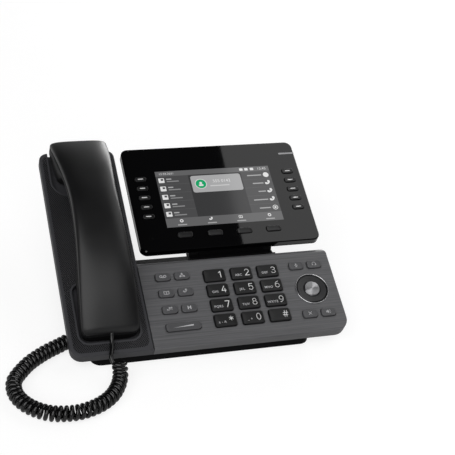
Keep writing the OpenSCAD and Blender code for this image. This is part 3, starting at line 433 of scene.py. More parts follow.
KEY_NODES = [f"key_{k}" for k in (1, 2, 3, 4, 5, 6, 7, 8, 9, "star", 0, "hash")]
finish_of = {
    "lower_housing": housing_abs, "keypad_cover": cover_abs, "cradle_cover": cradle_abs,
    "foot_stand": housing_abs, "rubber_feet": pad_rubber, "housing_screws": screw_zinc,
    "main_board": board_epoxy, "keypad_mat": mat_silicone, "hook_switch": housing_abs,
    "nav_trim_ring": dial_chrome, "loudspeaker": speaker_paper, "display_neck": housing_abs,
    "hinge_pins": pin_steel, "display_front": display_pmma, "display_rear_cover": display_back_abs,
    "lcd_panel": screen_dark, "handset_outer_shell": handset_abs, "handset_inner_shell": grip_abs,
    "handset_capsules": capsule_metal, "cord_tail": cord_pvc, "cord_coil": cord_pvc,
    "volume_key": function_key_abs, "nav_ring": dial_abs, "nav_ok": dial_aluminium,
}
for name, obj in nodes.items():
    finish = finish_of.get(name)
    if finish is None:
        finish = (display_key_abs if name.startswith(("line_key", "soft_key")) else
                  number_key_abs if name in KEY_NODES else function_key_abs)
    obj.data.materials.clear()
    obj.data.materials.append(finish)

# ---------------------------------------- camera

# azimuth, elevation and roll in degrees
AZ, EL, ROLL = map(math.radians, (-21.1068, 35.0892, 8.3272))
AIM_N = 1.5                                # height over the sloping top of the point aimed at
FRAME = 455.0                              # width and height of the frame in pixels
FOCAL, DISTANCE = 1075.848, 938.111        # pixels, and millimetres to key 5
KEY_PX = (245.055, 287.328)                # where key 5 is seen


def camera_axes():
    """Right, up and back of the camera: the level view turned by the roll about the line of sight."""
    back = np.array([math.sin(AZ) * math.cos(EL), -math.cos(AZ) * math.cos(EL), math.sin(EL)])
    right = np.array([math.cos(AZ), math.sin(AZ), 0.0])
    up = np.cross(back, right)
    return (math.cos(ROLL) * right + math.sin(ROLL) * up,
            -math.sin(ROLL) * right + math.cos(ROLL) * up, back)


right, up, back = camera_axes()
key_five = on_plate(KEYS_X, KEYS_S + KEY_PITCH_S / 2, AIM_N) * 1000
offset_x = (KEY_PX[0] - FRAME / 2) * DISTANCE / FOCAL
offset_y = -(KEY_PX[1] - FRAME / 2) * DISTANCE / FOCAL
eye = key_five - offset_x * right - offset_y * up + DISTANCE * back
camera_data = bpy.data.cameras.new("studio_camera")
camera_data.sensor_width = 36.0
camera_data.lens = camera_data.sensor_width * FOCAL / FRAME
camera_data.clip_start, camera_data.clip_end = 0.05, 50.0
camera = bpy.data.objects.new("studio_camera", camera_data)
bpy.context.scene.collection.objects.link(camera)
camera.matrix_world = Matrix([[right[i], up[i], back[i], eye[i] * 0.001] for i in range(3)]
                             + [[0, 0, 0, 1]])
bpy.context.scene.camera = camera

# ---------------------------------------- cord

CORD_R = 1.8                # radius of the jacket
CORD_SIDES = 12             # corners of its section
COIL_R = 4.8                # radius of the coil at the middle of the jacket
PITCH = 4.45                # from turn to turn
WIND_IN = 16.0              # length over which the coil opens from the straight lead
GIVES = 330.0               # length of jacket, up to the handset, that gives as it is lifted
FIRM = 5.0                  # of it, the last stretch, that moves with the handset whole
LEAD = np.array([[-101.3, -61, 9], [-103.4, -61, 8.95], [-105.4, -61.1, 8.9]])
COIL_LINE = np.array([
    [-107.6, -61.5, 8.6], [-117, -65.4, 7.1], [-126.7, -70.6, 6.7], [-136, -75.4, 6.7],
    [-144.6, -80.8, 6.7], [-154.5, -88.5, 6.7], [-163, -98.2, 6.7], [-168.4, -106.5, 6.7],
    [-169.9, -115.3, 6.7], [-168.4, -124.5, 6.7], [-163.7, -133.1, 6.7],
    [-157.4, -139.7, 6.7], [-150, -144.7, 6.7], [-142.8, -147.5, 6.7],
    [-135.2, -148.8, 6.7], [-127.4, -149.2, 6.7], [-119.5, -148.2, 6.7],
    [-110.6, -145.4, 6.7], [-102.4, -141.1, 6.7], [-95.4, -135.3, 6.7],
    [-90.2, -128.3, 6.7], [-86.4, -120.8, 7.1], [-84.6, -114.8, 9.2],
    [-84.4, -110.9, 12.8], [-85, -108.9, 17]])
TAIL = np.array([
    [-90.9, -106.2, 19.1], [-90.6, -103.4, 20.6], [-89.6, -100.4, 21.2],
    [-88.8, -97.4, 21.7], [-88.2, -93.8, 23], [-87.7, -90.7, 25.1], [-87.5, -88.6, 27.7],
    [-87.5, -87.0, 30.2]])


def smooth_line(points, step):
    """Cardinal spline through the points, resampled at even steps along its length."""
    p = np.concatenate([[2 * points[0] - points[1]], points, [2 * points[-1] - points[-2]]])
    t = np.linspace(0, 1, 40, endpoint=False)[:, None]
    parts = []
    for a, b, c, d in zip(p[:-3], p[1:-2], p[2:-1], p[3:]):
        parts.append(0.5 * (2 * b + (c - a) * t + (2 * a - 5 * b + 4 * c - d) * t ** 2
                            + (3 * b - a - 3 * c + d) * t ** 3))
    line = np.concatenate(parts + [points[-1:]])
    along = np.concatenate([[0], np.cumsum(np.linalg.norm(np.diff(line, axis=0), axis=1))])
    even = np.linspace(0, along[-1], max(2, int(round(along[-1] / step)) + 1))
    return np.stack([np.interp(even, along, line[:, i]) for i in range(3)], -1), even


def carried_frames(line):
    """Two directions square to a line at each point, carried along it without twist."""
    tangent = np.gradient(line, axis=0)
    tangent /= np.linalg.norm(tangent, axis=1)[:, None]
    first = np.cross(tangent[0], [0, 0, 1.0])
    first /= np.linalg.norm(first)
    side = [first]
    for t in tangent[1:]:
        v = side[-1] - (side[-1] @ t) * t
        side.append(v / np.linalg.norm(v))
    side = np.array(side)
    return tangent, side, np.cross(tangent, side)


def coiled_route():
    """The jacket's middle line: a helix wound clockwise round the coil's line. Its radius grows from
    the lead with the smooth step f of the distance, and its turning with f squared. It runs off
    into the tail from the coil's left side, heading for the handset."""
    line, along = smooth_line(COIL_LINE, 0.05)
    tangent, side, other = carried_frames(line)
    f = np.clip(along / WIND_IN, 0, 1)
    f = f * f * (3 - 2 * f)
    angle = -2 * math.pi / PITCH * np.concatenate([[0], np.cumsum(np.diff(along) * f[1:] ** 2)])
    leaves = np.array([-1.0, -0.25, 0.0])
    angle += math.atan2(leaves @ other[-1], leaves @ side[-1]) - angle[-1]
    helix = line + COIL_R * f[:, None] * (np.cos(angle)[:, None] * side + np.sin(angle)[:, None] * other)
    path = np.concatenate([LEAD, helix[:-1:5], helix[-1:], TAIL])
    return smooth_line(path, 1.1)[0], abs(angle[-1] - angle[0]) / (2 * math.pi)


def tube(name, line, radius, sides):
    """Round tube carried along a line: circles of the radius set square to it, ends closed."""
    tangent, side, other = carried_frames(line)
    a = np.linspace(0, 2 * math.pi, sides, endpoint=False)
    ring = radius * (np.cos(a)[:, None] * side[:, None] + np.sin(a)[:, None] * other[:, None])
    points = (line[:, None] + ring) * 0.001
    faces = skin_faces(len(line), sides).tolist()
    faces.append(list(range(sides))[::-1])
    faces.append([(len(line) - 1) * sides + j for j in range(sides)])
    return new_mesh(name, points.reshape(-1, 3), faces)


route, turn_count = coiled_route()
cord = tube("handset_cord", route, CORD_R, CORD_SIDES)
cord.data.materials.append(cord_pvc)
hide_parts("cord_tail", "cord_coil")
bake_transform(cord)
# every ring of the jacket is given a share of the handset's motion by its distance along the cord,
# eased so that the last turns of the coil would open evenly; the share is worked out here and used by nothing
reach = np.cumsum(np.concatenate([[0], np.linalg.norm(np.diff(route, axis=0), axis=1)]))
share = np.clip((reach - (reach[-1] - GIVES)) / (GIVES - FIRM), 0, 1)
share = np.repeat(share * share * (3 - 2 * share), CORD_SIDES).astype(np.float32)

# ---------------------------------------- handset

HS_LEN, HS_S0 = 195.5, 15.0
HS_S1 = HS_S0 + HS_LEN
WAIST, MOUTH_W, EAR_W = 20.3, 24.4, 25.5           # half widths
WAIST_S = HS_S0 + HS_LEN * 0.5703
RISE, ARCH_R = 37.5, 157.0                         # height and radius of the parting line's arch
TOP_S = HS_S0 + HS_LEN * 0.5243
CROWN, END_CROWN, LAST_CROWN = 7.5, 5.5, 1.6       # rise of the back over the parting line
GRIP, FOOT_N = 9.0, -5.6                           # drop of the grip, and where both ends stand
BOW, ROOT = HS_LEN * 0.2148, HS_LEN * 0.0921       # from the top to where the ends drop, and how long
CORNER, END_EDGE, FOOT_EDGE = 5.5, 4.0, 3.0        # radii in which the ends run out
BACK_POWER, GRIP_POWER = 3.4, 5.0                  # exponents of the sections
RIM_GROOVE = 0.12                                  # each half's rim turns in by this


def round_end(d, r):
    """Quarter circle of radius r that an end runs out in, at the distance d from it, from 0 to 1."""
    return np.sqrt(np.clip(1 - np.clip(1 - d / r, 0, 1) ** 2, 0, 1))


def handset_sections(s):
    """Half width, parting line, rise and drop of the handset at the distances s: the width swells
    by a cosine from the waist, the parting line is a parabola, and both ends run out in arcs."""
    end = np.minimum(s - HS_S0, HS_S1 - s)
    span = np.where(s < WAIST_S, WAIST_S - HS_S0, HS_S1 - WAIST_S)
    wide = np.where(s < WAIST_S, MOUTH_W, EAR_W)
    half = WAIST + (wide - WAIST) * (1 - np.cos(math.pi * np.clip(abs(s - WAIST_S) / span, 0, 1))) / 2
    half = half - CORNER * (1 - round_end(end, CORNER))
    part = RISE - (s - TOP_S) ** 2 / (2 * ARCH_R)
    bulge = (CROWN - END_CROWN) * (1 - ((s - TOP_S) / (HS_LEN / 2 + 4)) ** 2)
    rise = LAST_CROWN + (END_CROWN - LAST_CROWN + bulge) * round_end(end, END_EDGE)
    u = np.clip((abs(s - TOP_S) - BOW) / ROOT, 0, 1)
    drop = GRIP + (part - FOOT_N - GRIP) * u * u * (3 - 2 * u) - 2.2 * (1 - round_end(end, FOOT_EDGE))
    return half, part, rise, drop


def handset_half(name, up_side):
    """Half of the handset: every section is half a superellipse, up or down from the parting line,
    and its rim turns in so that a fine groove shows between the halves."""
    inner = np.linspace(HS_S0 + 9, HS_S1 - 9, 90)
    ends = 9 * (1 - np.cos(np.linspace(0, math.pi / 2, 14)[:-1]))
    s = np.concatenate([HS_S0 + ends, inner, (HS_S1 - ends)[::-1]])
    half, part, rise, drop = handset_sections(s)
    a = np.linspace(0, math.pi, 49)
    c, q = np.cos(a), np.sin(a)
    power = 2 / (BACK_POWER if up_side > 0 else GRIP_POWER)
    bulge_c, bulge_s = np.sign(c) * abs(c) ** power, q ** power
    height = rise if up_side > 0 else drop
    x = AXIS_X + half[:, None] * bulge_c
    n = part[:, None] + up_side * height[:, None] * bulge_s
    rim = np.array([1, *[0] * 47, 1.0])
    x = x - np.sign(bulge_c) * rim * RIM_GROOVE
    points = on_plate(x, s[:, None] + 0 * x, n)
    rows, cols = points.shape[:2]
    faces = skin_faces(rows, cols)
    faces = (faces[:, ::-1] if up_side > 0 else faces).tolist()
    first, last = list(range(cols)), [(rows - 1) * cols + j for j in range(cols)]
    faces += [first if up_side > 0 else first[::-1], last[::-1] if up_side > 0 else last]
    return new_mesh(name, points.reshape(-1, 3), faces)


place(handset_half("handset_back", 1), handset_abs, "handset", "handset_back", "handset_outer_shell")
place(handset_half("handset_grip", -1), grip_abs, "handset", "handset_grip", "handset_inner_shell")

# ---------------------------------------- keys

NUMBER_CAP = dict(w=19.5, d=12.2, r=2.3, rise=2.0, edge=0.7, dish=0.25, bottom=-3.3)
FUNCTION_CAP = dict(w=13.4, d=7.8, r=2.6, rise=1.7, edge=0.6, dish=0.2, bottom=-3.3)
VOLUME_CAP = dict(FUNCTION_CAP, w=30.5, bottom=-3.6)
LINE_CAP = dict(w=11, d=5, r=2.4, rise=1.1, edge=0.5, dish=0.12, bottom=-2.9)
SOFT_CAP = dict(LINE_CAP, w=14, d=5.6)
NUMBER_INK, FUNCTION_INK, LINE_INK = 1.95, 1.66, 1.08      # heights at which the caps are printed


def arc_points(cx, cy, rx, a0, a1, ry=None, steps=16):
    """Points of an elliptic arc, from a0 to a1 degrees."""
    a = np.radians(np.linspace(a0, a1, steps))
    return np.stack([cx + rx * np.cos(a), cy + (ry or rx) * np.sin(a)], -1)


# figures of one stroke width, 6.6 mm high and up to 4.3 mm wide, about their middle
SIX = [np.concatenate([[[1.15, 2.99]], arc_points(0.95, -0.6, 2.75, 112, 180, 3.4)]),
       arc_points(0, -1.1, 1.8, 0, 360, 1.89, 30)]
FIGURES = {
    "1": [[[-1.15, 1.75], [0.35, 2.99], [0.35, -2.99]]],
    "2": [np.concatenate([arc_points(0, 1.3, 1.72, 165, -28, 1.69), [[-1.85, -2.99], [1.85, -2.99]]])],
    "3": [np.concatenate([arc_points(-0.1, 1.5, 1.62, 155, -80, 1.49),
                          arc_points(-0.1, -1.4, 1.85, 82, -155, 1.59)]),
          [[-0.75, 0.08], [0.1, 0.08]]],
    "4": [[[0.55, 2.99], [-1.95, -1.35], [1.95, -1.35]], [[0.95, 0.5], [0.95, -2.99]]],
    "5": [np.concatenate([[[1.6, 2.99], [-1.25, 2.99], [-1.5, 0.3]],
                          arc_points(0, -1.05, 1.82, 132, -150, 1.94)])],
    "6": SIX,
    "7": [[[-1.85, 2.99], [1.85, 2.99], [-0.65, -2.99]]],
    "8": [arc_points(0, 1.58, 1.5, 0, 360, 1.41, 26), arc_points(0, -1.36, 1.85, 0, 360, 1.63, 30)],
    "9": [-np.asarray(part) for part in SIX],
    "0": [arc_points(0, 0, 1.78, 0, 360, 2.99, 34)],
    "*": [[[-1.95 * math.cos(a), -1.95 * math.sin(a)], [1.95 * math.cos(a), 1.95 * math.sin(a)]]
          for a in np.radians([90, 30, 150])],
    "#": [[[-1.25, -2.9], [-0.5, 2.9]], [[0.6, -2.9], [1.35, 2.9]], [[-2.1, 1.05], [2.3, 1.05]],
          [[-2.3, -1.0], [2.1, -1.0]]],
}
# the letters that a dial has by custom
LETTERS = ["", "ABC", "DEF", "GHI", "JKL", "MNO", "PQRS", "TUV", "WXYZ", "a - A", "_ +", ""]
for i, (name, figure) in enumerate(zip(KEY_NODES, "123456789*0#")):
    x = KEYS_X + (i % 3 - 1) * KEY_PITCH_X
    s = KEYS_S + (1.5 - i // 3) * KEY_PITCH_S
    place(cap_mesh(name + "_cap", x, s, **NUMBER_CAP), number_key_abs, name, "number_key", name)
    up, stroke = 0.9 if figure == "*" else 0.1, 0.52 if figure in "*#" else 0.62
    place(flat_art(name + "_digit", FIGURES[figure], [], x + 5.1, s + up, NUMBER_INK, stroke),
          ink_white, name, "number_key")
    if LETTERS[i]:
        letters = lettering(name + "_letters", LETTERS[i], 2.25, x - 3.1, s - 1.9, NUMBER_INK - 0.02,
                            spread=1.12, bold=0.012)
        place(letters, ink_grey, name, "number_key")


def receiver(cx, cy, r, turn):
    """A handset sign: an arc with a thick pad at each end."""
    a = math.radians(turn)
    spin = np.array([[math.cos(a), math.sin(a)], [-math.sin(a), math.cos(a)]])
    bow = arc_points(0, r * 0.95, r * 1.15, 222, 318)
    pads = [[[side * r * (0.95 - k), r * (0.42 + k)], [side * r * (0.6 - k), r * (0.02 + k)]]
            for side in (-1, 1) for k in (0, 0.15, 0.3)]
    return [np.asarray(p) @ spin + [cx, cy] for p in [bow, bow + [0, 0.35], bow + [0, -0.2], *pads]]


ICONS = {
    "key_voicemail": ([[[-1.7, -1.0], [1.7, -1.0]]], [(-1.7, 0.1, 1.3, 0.75), (1.7, 0.1, 1.3, 0.75)]),
    "key_conference": ([[[0, 1.2], [-1.6, -1.2], [1.6, -1.2], [0, 1.2]]],
                       [(0, 1.3, 0.75, 0), (-1.7, -1.2, 0.75, 0), (1.7, -1.2, 0.75, 0)]),
    "key_directory": ([[[-2.2, -1.2], [-2.2, 1.4], [0, 1.0], [2.2, 1.4], [2.2, -1.2], [0, -1.6],
                        [-2.2, -1.2]], [[0, -1.6], [0, 1.0]]], []),
    "key_redial": (receiver(0, 0.1, 2.1, 42), []),
    "key_transfer": (receiver(-0.7, -0.2, 1.9, 42)
                     + [[[0.5, 1.5], [2.1, 1.5]], [[2.1, 1.5], [1.5, 2.0]], [[2.1, 1.5], [1.5, 1.0]],
                        [[1.6, 1.5], [1.6, -0.4]]], []),
    "key_hold": ([[[-1.3, -1.5], [-1.3, 1.5], [0, -0.2], [1.3, 1.5], [1.3, -1.5]],
                  [[-0.9, -1.5], [-0.9, 0.9]], [[0.9, -1.5], [0.9, 0.9]]], []),
    "key_mute": ([[[0, 0.1], [0, 1.5]], [[-0.3, 0.1], [-0.3, 1.5]], [[0.3, 0.1], [0.3, 1.5]],
                  arc_points(0, 0.2, 1.15, 180, 360), [[0, -0.95], [0, -1.7]],
                  [[-0.7, -1.7], [0.7, -1.7]]], []),
    "key_headset": ([arc_points(0, 0, 1.7, -10, 190), [[-1.65, 0], [-1.65, -1.1]], [[1.65, 0], [1.65, -1.1]],
                     [[1.65, -1.1], [0.7, -1.7]]], [(-1.5, -0.7, 0.65, 0), (1.5, -0.7, 0.65, 0)]),
    "key_cancel": ([[[-1.4, -1.3], [1.4, 1.3]], [[-1.4, 1.3], [1.4, -1.3]]], []),
    "key_speaker": ([[[-2.0, -0.6], [-2.0, 0.6], [-1.2, 0.6], [-0.2, 1.4], [-0.2, -1.4], [-1.2, -0.6],
                      [-2.0, -0.6]], [[-1.5, -0.3], [-0.6, -0.7], [-0.6, 0.7], [-1.5, 0.3]],
                     arc_points(-0.2, 0, 1.2, -45, 45), arc_points(-0.2, 0, 2.1, -45, 45)], []),
}
FKEY_X = [KEYS_X - 70.4, KEYS_X - 53.4]
FKEY_S = [KEYS_S + 25.2, KEYS_S + 8.9, KEYS_S - 7.3]
RKEY_X = [KEYS_X + 52.3, KEYS_X + 69.5]
RKEY_S = [KEYS_S + 25.2, KEYS_S - 24.3]
LEFT_KEYS = ["voicemail", "conference", "directory", "redial", "transfer", "hold"]
RIGHT_KEYS = ["mute", "headset", "cancel", "speaker"]
FUNCTION_PLACES = {f"key_{k}": (FKEY_X[i % 2], FKEY_S[i // 2]) for i, k in enumerate(LEFT_KEYS)}
FUNCTION_PLACES.update({f"key_{k}": (RKEY_X[i % 2], RKEY_S[i // 2]) for i, k in enumerate(RIGHT_KEYS)})
for name, (x, s) in FUNCTION_PLACES.items():
    place(cap_mesh(name + "_cap", x, s, **FUNCTION_CAP), function_key_abs, name, "function_key", name)
    strokes, discs = ICONS[name]
    place(flat_art(name + "_sign", strokes, discs, x, s + 0.1, FUNCTION_INK, 0.48), ink_grey, name,
          "function_key")
VOL_X, VOL_S = sum(FKEY_X) / 2, RKEY_S[1]
place(cap_mesh("volume_rocker_cap", VOL_X, VOL_S, **VOLUME_CAP), function_key_abs, "volume_rocker",
      "function_key", "volume_key")
wedge = on_plate(VOL_X + np.array([-9.0, 8.6, 8.8]), VOL_S + np.array([-0.9, -0.5, 0.9]), FUNCTION_INK)
place(new_mesh("volume_wedge_sign", wedge, [[0, 1, 2]], smooth=False), ink_grey, "volume_rocker",
      "function_key")

# ---------------------------------------- dial

DIAL_X, DIAL_S = 97.9, 42.9
OK_R, OK_TOP, OK_LOW = 6.8, 2.0, -3.3              # centre button
TRIM_R, TRIM_HALF, TRIM_N, TRIM_LOW = 14.78, 0.42, 0.5, -2.2
TRIM_CROWN = 0.8                                   # rise of the bright ring's rounded top
ARROW_R, ARROW_N = 10.6, 1.22


def turned(profile, steps):
    """Points of a profile of (radius, height), turned about the dial's axis."""
    p = np.asarray(profile, float)
    a = np.linspace(0, 2 * math.pi, steps, endpoint=False)
    return on_plate(DIAL_X + p[:, None, 0] * np.cos(a), DIAL_S + p[:, None, 0] * np.sin(a),
                    p[:, None, 1] + 0 * a)


def bright_ring(steps=128):
    """Ring round the dial: two straight sides under half an ellipse, closed below."""
    a = np.linspace(0, math.pi, 17)
    top = np.stack([TRIM_R + TRIM_HALF * np.cos(a), TRIM_N + TRIM_CROWN * np.sin(a)], -1)
    outer, inner = [[TRIM_R + TRIM_HALF, TRIM_LOW]], [[TRIM_R - TRIM_HALF, TRIM_LOW]]
    points = turned(np.concatenate([outer, top, inner]), steps)
    rows = len(points)
    j = np.arange(steps)
    k = (j + 1) % steps
    under = np.stack([(rows - 1) * steps + j, (rows - 1) * steps + k, k, j], -1)
    return new_mesh("dial_trim", points.reshape(-1, 3), skin_faces(rows, steps).tolist() + under.tolist())


place(bright_ring(), dial_chrome, "base", "nav_chrome", "nav_trim_ring")
for k in range(4):
    t = k * math.pi / 2
    chevron = flat_art(f"dial_arrow_{k}", [[[-0.5, -1.2], [0.6, 0], [-0.5, 1.2]]], [],
                       DIAL_X + ARROW_R * math.cos(t), DIAL_S + ARROW_R * math.sin(t), ARROW_N, 0.4, t)
    place(chevron, display_key_abs, "nav_ring", "nav_black")


def spun_button():
    """Centre button: a profile turned about the dial's axis, from the middle of a barely hollow face
    over a chamfer of 0.5 mm and down its side. The map runs with the radius, then round the axis."""
    radii = np.concatenate([np.linspace(0.02, OK_R - 0.5, 12), [OK_R - 0.25, OK_R, OK_R, OK_R - 0.05]])
    top = OK_TOP - 0.12 * (1 - (radii[:12] / OK_R) ** 2)
    heights = np.concatenate([top, [OK_TOP - 0.08, OK_TOP - 0.35, OK_TOP - 1.6, OK_LOW]])
    steps = 96
    points = turned(np.stack([radii, heights], -1), steps)
    faces = skin_faces(len(radii), steps)[:, ::-1]
    caps = [list(range(steps)), [(len(radii) - 1) * steps + j for j in range(steps)][::-1]]
    piece = new_mesh("ok_button", points.reshape(-1, 3), faces.tolist() + caps)
    mesh = piece.data
    loops = np.zeros(len(mesh.loops), np.int64)
    mesh.loops.foreach_get("vertex_index", loops)
    run = np.concatenate([[0], np.cumsum(np.hypot(np.diff(radii), np.diff(heights)))])
    uv = np.stack([run[loops // steps] / run[-1], (loops % steps) / steps], -1)
    mesh.uv_layers.new(name="UVMap").data.foreach_set("uv", uv.astype(np.float32).ravel())
    return piece


place(spun_button(), dial_aluminium, "nav_ok", "nav_metal", "nav_ok")

# ---------------------------------------- display

DISP_X, DISP_S0 = 37.4, 94.8
SCREEN_X, SCREEN_S, SCREEN_W, SCREEN_H = 36.4, 149.8, 110.7, 62.3
LINE_S, LINE_PITCH = SCREEN_S + 2.5, 10.37
SOFT_S, SOFT_PITCH = DISP_S0 + 14.8, 27.9
for side, x in (("left", DISP_X - 71.2), ("right", DISP_X + 71.9)):
    for i in range(5):
        name, s = f"line_key_{side}_{i + 1}", LINE_S + (2 - i) * LINE_PITCH
        place(cap_mesh(name + "_cap", x, s, **LINE_CAP), display_key_abs, name, "display_key", name)
        place(flat_art(name + "_bar", [[[-2.1, 0], [2.1, 0]]], [], x, s, LINE_INK, 0.95), ink_white, name,
              "display_key")
for i in range(4):
    name, x = f"soft_key_{i + 1}", DISP_X + (i - 1.5) * SOFT_PITCH
    place(cap_mesh(name + "_cap", x, SOFT_S, **SOFT_CAP), display_key_abs, name, "display_key", name)


def patch(name, u0, v0, u1, v1, level, finish, radius=0.0):
    """Flat patch of the screen, in millimetres from its middle, at a height of level hundredths."""
    w, h = u1 - u0, v1 - v0
    if radius > 0:
        o = rounded_outline(w, h, radius, 5)
        x, s = SCREEN_X + (u0 + u1) / 2 + o[:, 0], SCREEN_S + (v0 + v1) / 2 + o[:, 1]
    else:
        x = SCREEN_X + np.array([u0, u1, u1, u0])
        s = SCREEN_S + np.array([v0, v0, v1, v1])
    piece = new_mesh(name, on_plate(x, s, level * 0.01), [list(range(len(x)))], smooth=False)
    return place(piece, finish, "display", "screen")


def screen_art(name, strokes, discs, u, v, level, finish, width=0.5):
    """Drawing on the screen, placed as a patch is."""
    drawing = flat_art(name, strokes, discs, SCREEN_X + u, SCREEN_S + v, level * 0.01, width)
    return place(drawing, finish, "display", "screen")


def screen_figures(name, words, height, u, v, level, spread):
    """Figures on the screen, placed as a patch is."""
    figures = lettering(name, words, height, SCREEN_X + u, SCREEN_S + v, level * 0.01, spread)
    return place(figures, screen_white, "display", "screen")


HW, HH = SCREEN_W / 2, SCREEN_H / 2
STATUS_H, SOFT_H = 5.6, 9.6
ROW_TOP, ROW_H = HH - STATUS_H, (SCREEN_H - STATUS_H - SOFT_H) / 5
patch("screen_ground", -HW, -HH, HW, HH, 2, screen_dark)
patch("screen_status_bar", -HW, ROW_TOP, HW, HH, 3, screen_bar)
patch("screen_soft_bar", -HW, -HH, HW, -HH + SOFT_H, 3, screen_bar)
for side, (u0, u1) in (("left", (-HW, -HW + 30.5)), ("right", (HW - 28.7, HW))):
    patch(f"screen_rows_{side}", u0, -HH + SOFT_H, u1, ROW_TOP, 3, screen_row)
    for i in range(1, 5):
        v = ROW_TOP - i * ROW_H
        patch(f"screen_rule_{side}_{i}", u0, v - 0.12, u1, v + 0.12, 4, screen_line)
    for i in range(5):
        v = ROW_TOP - (i + 0.5) * ROW_H
        sign, words = f"screen_sign_{side}_{i}", f"screen_words_a_{side}_{i}"
        if side == "left":
            u = u0 + 4.6
            patch(sign, u - 2.7, v - 2.7, u + 2.7, v + 2.7, 4, screen_white, 0.6)
            patch(f"screen_sign_cut_{side}_{i}", u - 0.5, v - 0.2, u + 1.8, v + 1.9, 5, screen_row)
            patch(words, u + 4.8, v + 0.6, u + 9.6, v + 1.9, 4, screen_card)
            patch(f"screen_words_b_{side}_{i}", u + 4.8, v - 2.0, u + 16.2, v - 0.8, 4, screen_words)
        else:
            u = u1 - 4.6
            discs = {0: [(0, 0, 2.8, 0)], 4: [(0, 0, 2.6, 2.0), (0, 0, 1.1, 0)]}.get(i, [])
            screen_art(sign, [] if discs else receiver(0, 0, 2.7, 40), discs, u, v, 4, screen_white, 0.9)
            patch(words, u - 18.6 + 3.4 * (i % 3), v - 0.6, u - 4.6, v + 0.6, 4, screen_card)
patch("screen_card_panel", -HW + 32.3, ROW_TOP - 20.4, HW - 30.0, ROW_TOP - 1.4, 4.5, screen_card, 2.2)
CARD_U, CARD_V = -HW + 41.0, ROW_TOP - 10.9
screen_art("screen_person_ring", [], [(0, 0, 5.6, 5.1)], CARD_U, CARD_V, 6, screen_white)
screen_art("screen_person_disc", [], [(0, 0, 4.9, 0)], CARD_U, CARD_V, 5, screen_green)
screen_art("screen_person_sign", [[[-1.5, -1.7], [1.5, -1.7]], [[-1.5, -1.3], [1.5, -1.3]]],
           [(0, 0.9, 1.35, 0)], CARD_U, CARD_V, 7, screen_white, 1.5)
screen_figures("screen_number", "555 0142", 3.3, CARD_U + 20.5, CARD_V + 2.4, 6, 1.0)
patch("screen_card_words", CARD_U + 8.5, CARD_V - 3.4, CARD_U + 27.0, CARD_V - 2.3, 6, screen_pale)
screen_figures("screen_clock", "12:45", 2.6, HW - 7.0, HH - 2.8, 5, 1.1)
screen_figures("screen_date", "12.03.2031", 2.1, -HW + 10.5, HH - 2.8, 5, 1.1)
for k, u in enumerate((HW - 27.5, HW - 22.5, HW - 17.0)):
    patch(f"screen_status_sign_{k}", u - 1.7, HH - 4.2, u + 1.7, HH - 1.4, 5, screen_white, 0.5)
wheel = [(0, 0, 1.7, 0.8)]
book = [[[-1.6, -1.2], [-1.6, 1.2], [1.6, 1.2], [1.6, -1.2], [-1.6, -1.2]], [[0, -1.2], [0, 1.2]]]
for k, (strokes, discs) in enumerate((([], wheel), (receiver(0, 0, 1.9, 40), []), (book, []), ([], wheel))):
    u = (k - 1.5) * SOFT_PITCH + DISP_X - SCREEN_X
    screen_art(f"screen_soft_sign_{k}", strokes, discs, u, -HH + 6.4, 5, screen_white)
    patch(f"screen_soft_words_{k}", u - 4.2, -HH + 1.6, u + 4.2, -HH + 2.7, 5, screen_card)

strip = cap_mesh("status_light_strip", 113.8, 194.5, w=15.6, d=1.9, r=0.4, rise=0.12, edge=0.1, dish=0.0,
                 bottom=-0.5, corner_steps=3)
place(strip, status_light, "display", "display_gloss")

# ---------------------------------------- studio

HORIZON_Z, ROOM_WHITE, ROOM_DARK = (-0.02, 0.22), 0.9, 0.03
FLOOR_HALF = 2.4

# seamless grey paper, lit up to white for the eye: GLOW of its own and the rest from the lamps, so
# that it keeps the phone's shadow. Gloss and glass see that background too, at half its glow
GLOW = 0.79
floor_mat, floor_bsdf = material("studio_paper_lit_white", "#939393", 0.9, Specular_IOR_Level=0.0)
floor_mat.cycles.emission_sampling = "NONE"
links = floor_mat.node_tree.links
ray = node(floor_mat, "ShaderNodeLightPath")
in_gloss = node(floor_mat, "ShaderNodeMath", [(0, ray, "Is Glossy Ray"), (1, ray, "Is Transmission Ray")],
                operation="MAXIMUM")
half_glow = node(floor_mat, "ShaderNodeMath", [(0, in_gloss, 0)], operation="MULTIPLY", i1=0.5)
glows = node(floor_mat, "ShaderNodeMath", [(0, ray, "Is Camera Ray"), (1, half_glow, 0)], operation="MAXIMUM")
strength = node(floor_mat, "ShaderNodeMath", [(0, glows, 0)], operation="MULTIPLY", i1=GLOW)
glow = node(floor_mat, "ShaderNodeEmission", [("Strength", strength, 0)], Color=(1, 1, 1, 1))
paper = node(floor_mat, "ShaderNodeAddShader", [(0, floor_bsdf, "BSDF"), (1, glow, "Emission")])
links.new(paper.outputs[0], floor_mat.node_tree.nodes["Material Output"].inputs["Surface"])
corners = np.array([[-1, -1, 0], [1, -1, 0], [1, 1, 0], [-1, 1, 0]])
floor = new_mesh("studio_floor", FLOOR_HALF * corners, [[0, 1, 2, 3]], smooth=False)
floor.data.materials.append(floor_mat)

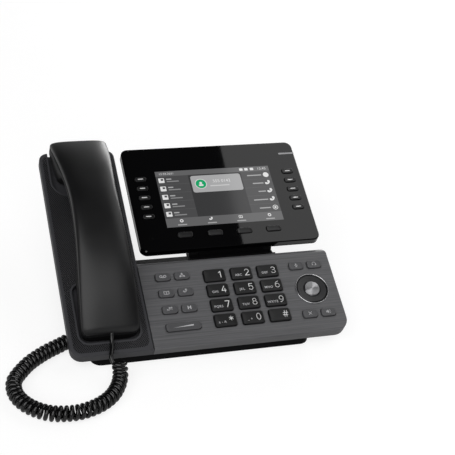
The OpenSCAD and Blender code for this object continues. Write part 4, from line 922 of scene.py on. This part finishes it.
# the room is white near the horizon and dark overhead, where the lamps hang
world = bpy.data.worlds.new("studio")
bpy.context.scene.world = world
world.use_nodes = True
room = world.node_tree.nodes["Background"]
room.inputs["Color"].default_value = (1, 1, 1, 1)
heading = node(world, "ShaderNodeTexCoord")
height = node(world, "ShaderNodeSeparateXYZ", [("Vector", heading, "Generated")])
room_light = node(world, "ShaderNodeMapRange", [("Value", height, "Z")], interpolation_type="SMOOTHSTEP",
                  i1=HORIZON_Z[0], i2=HORIZON_Z[1], i3=ROOM_WHITE, i4=ROOM_DARK)
world.node_tree.links.new(room_light.outputs["Result"], room.inputs["Strength"])
path = node(world, "ShaderNodeLightPath")
clear = node(world, "ShaderNodeMath", [(0, path, "Is Camera Ray"), (1, path, "Is Transmission Ray")],
             operation="MAXIMUM")
seen = node(world, "ShaderNodeBackground", Color=(1, 1, 1, 1), Strength=1.0)
mix = node(world, "ShaderNodeMixShader", [(0, clear, 0), (1, room, "Background"), (2, seen, "Background")])
world.node_tree.links.new(mix.outputs["Shader"], world.node_tree.nodes["World Output"].inputs["Surface"])


def soft_box(name, at, towards, width, height, radiance, turn=0.0):
    """Flat studio lamp at a place in metres, turned to face another and by turn degrees in its own
    plane: power is radiance x pi x area."""
    lamp = bpy.data.lights.new(name, "AREA")
    lamp.shape, lamp.size, lamp.size_y = "RECTANGLE", width, height
    lamp.energy = radiance * math.pi * width * height
    obj = bpy.data.objects.new(name, lamp)
    bpy.context.scene.collection.objects.link(obj)
    obj.rotation_mode = "QUATERNION"
    own_turn = Quaternion((0, 0, 1), math.radians(turn))
    obj.rotation_quaternion = (Vector(at) - Vector(towards)).to_track_quat("Z", "Y") @ own_turn
    obj.location = at
    return obj


soft_box("key_box", (-0.7, -1.0, 1.2), (0, 0, 0), 2.2, 1.6, 2.3)
soft_box("back_right_box", (0.8, 1.2, 0.34), (0, 0, 0.05), 1.0, 0.56, 6.0)
# the left edge of this lamp is what the display's glossy face mirrors as a slanting line
soft_box("overhead_box", (1.161, 0.44, 1.2), (1.161, 0.44, 0), 1.5, 1.9, 1.2, 5.2)

bpy.context.scene.view_settings.view_transform = "Standard"
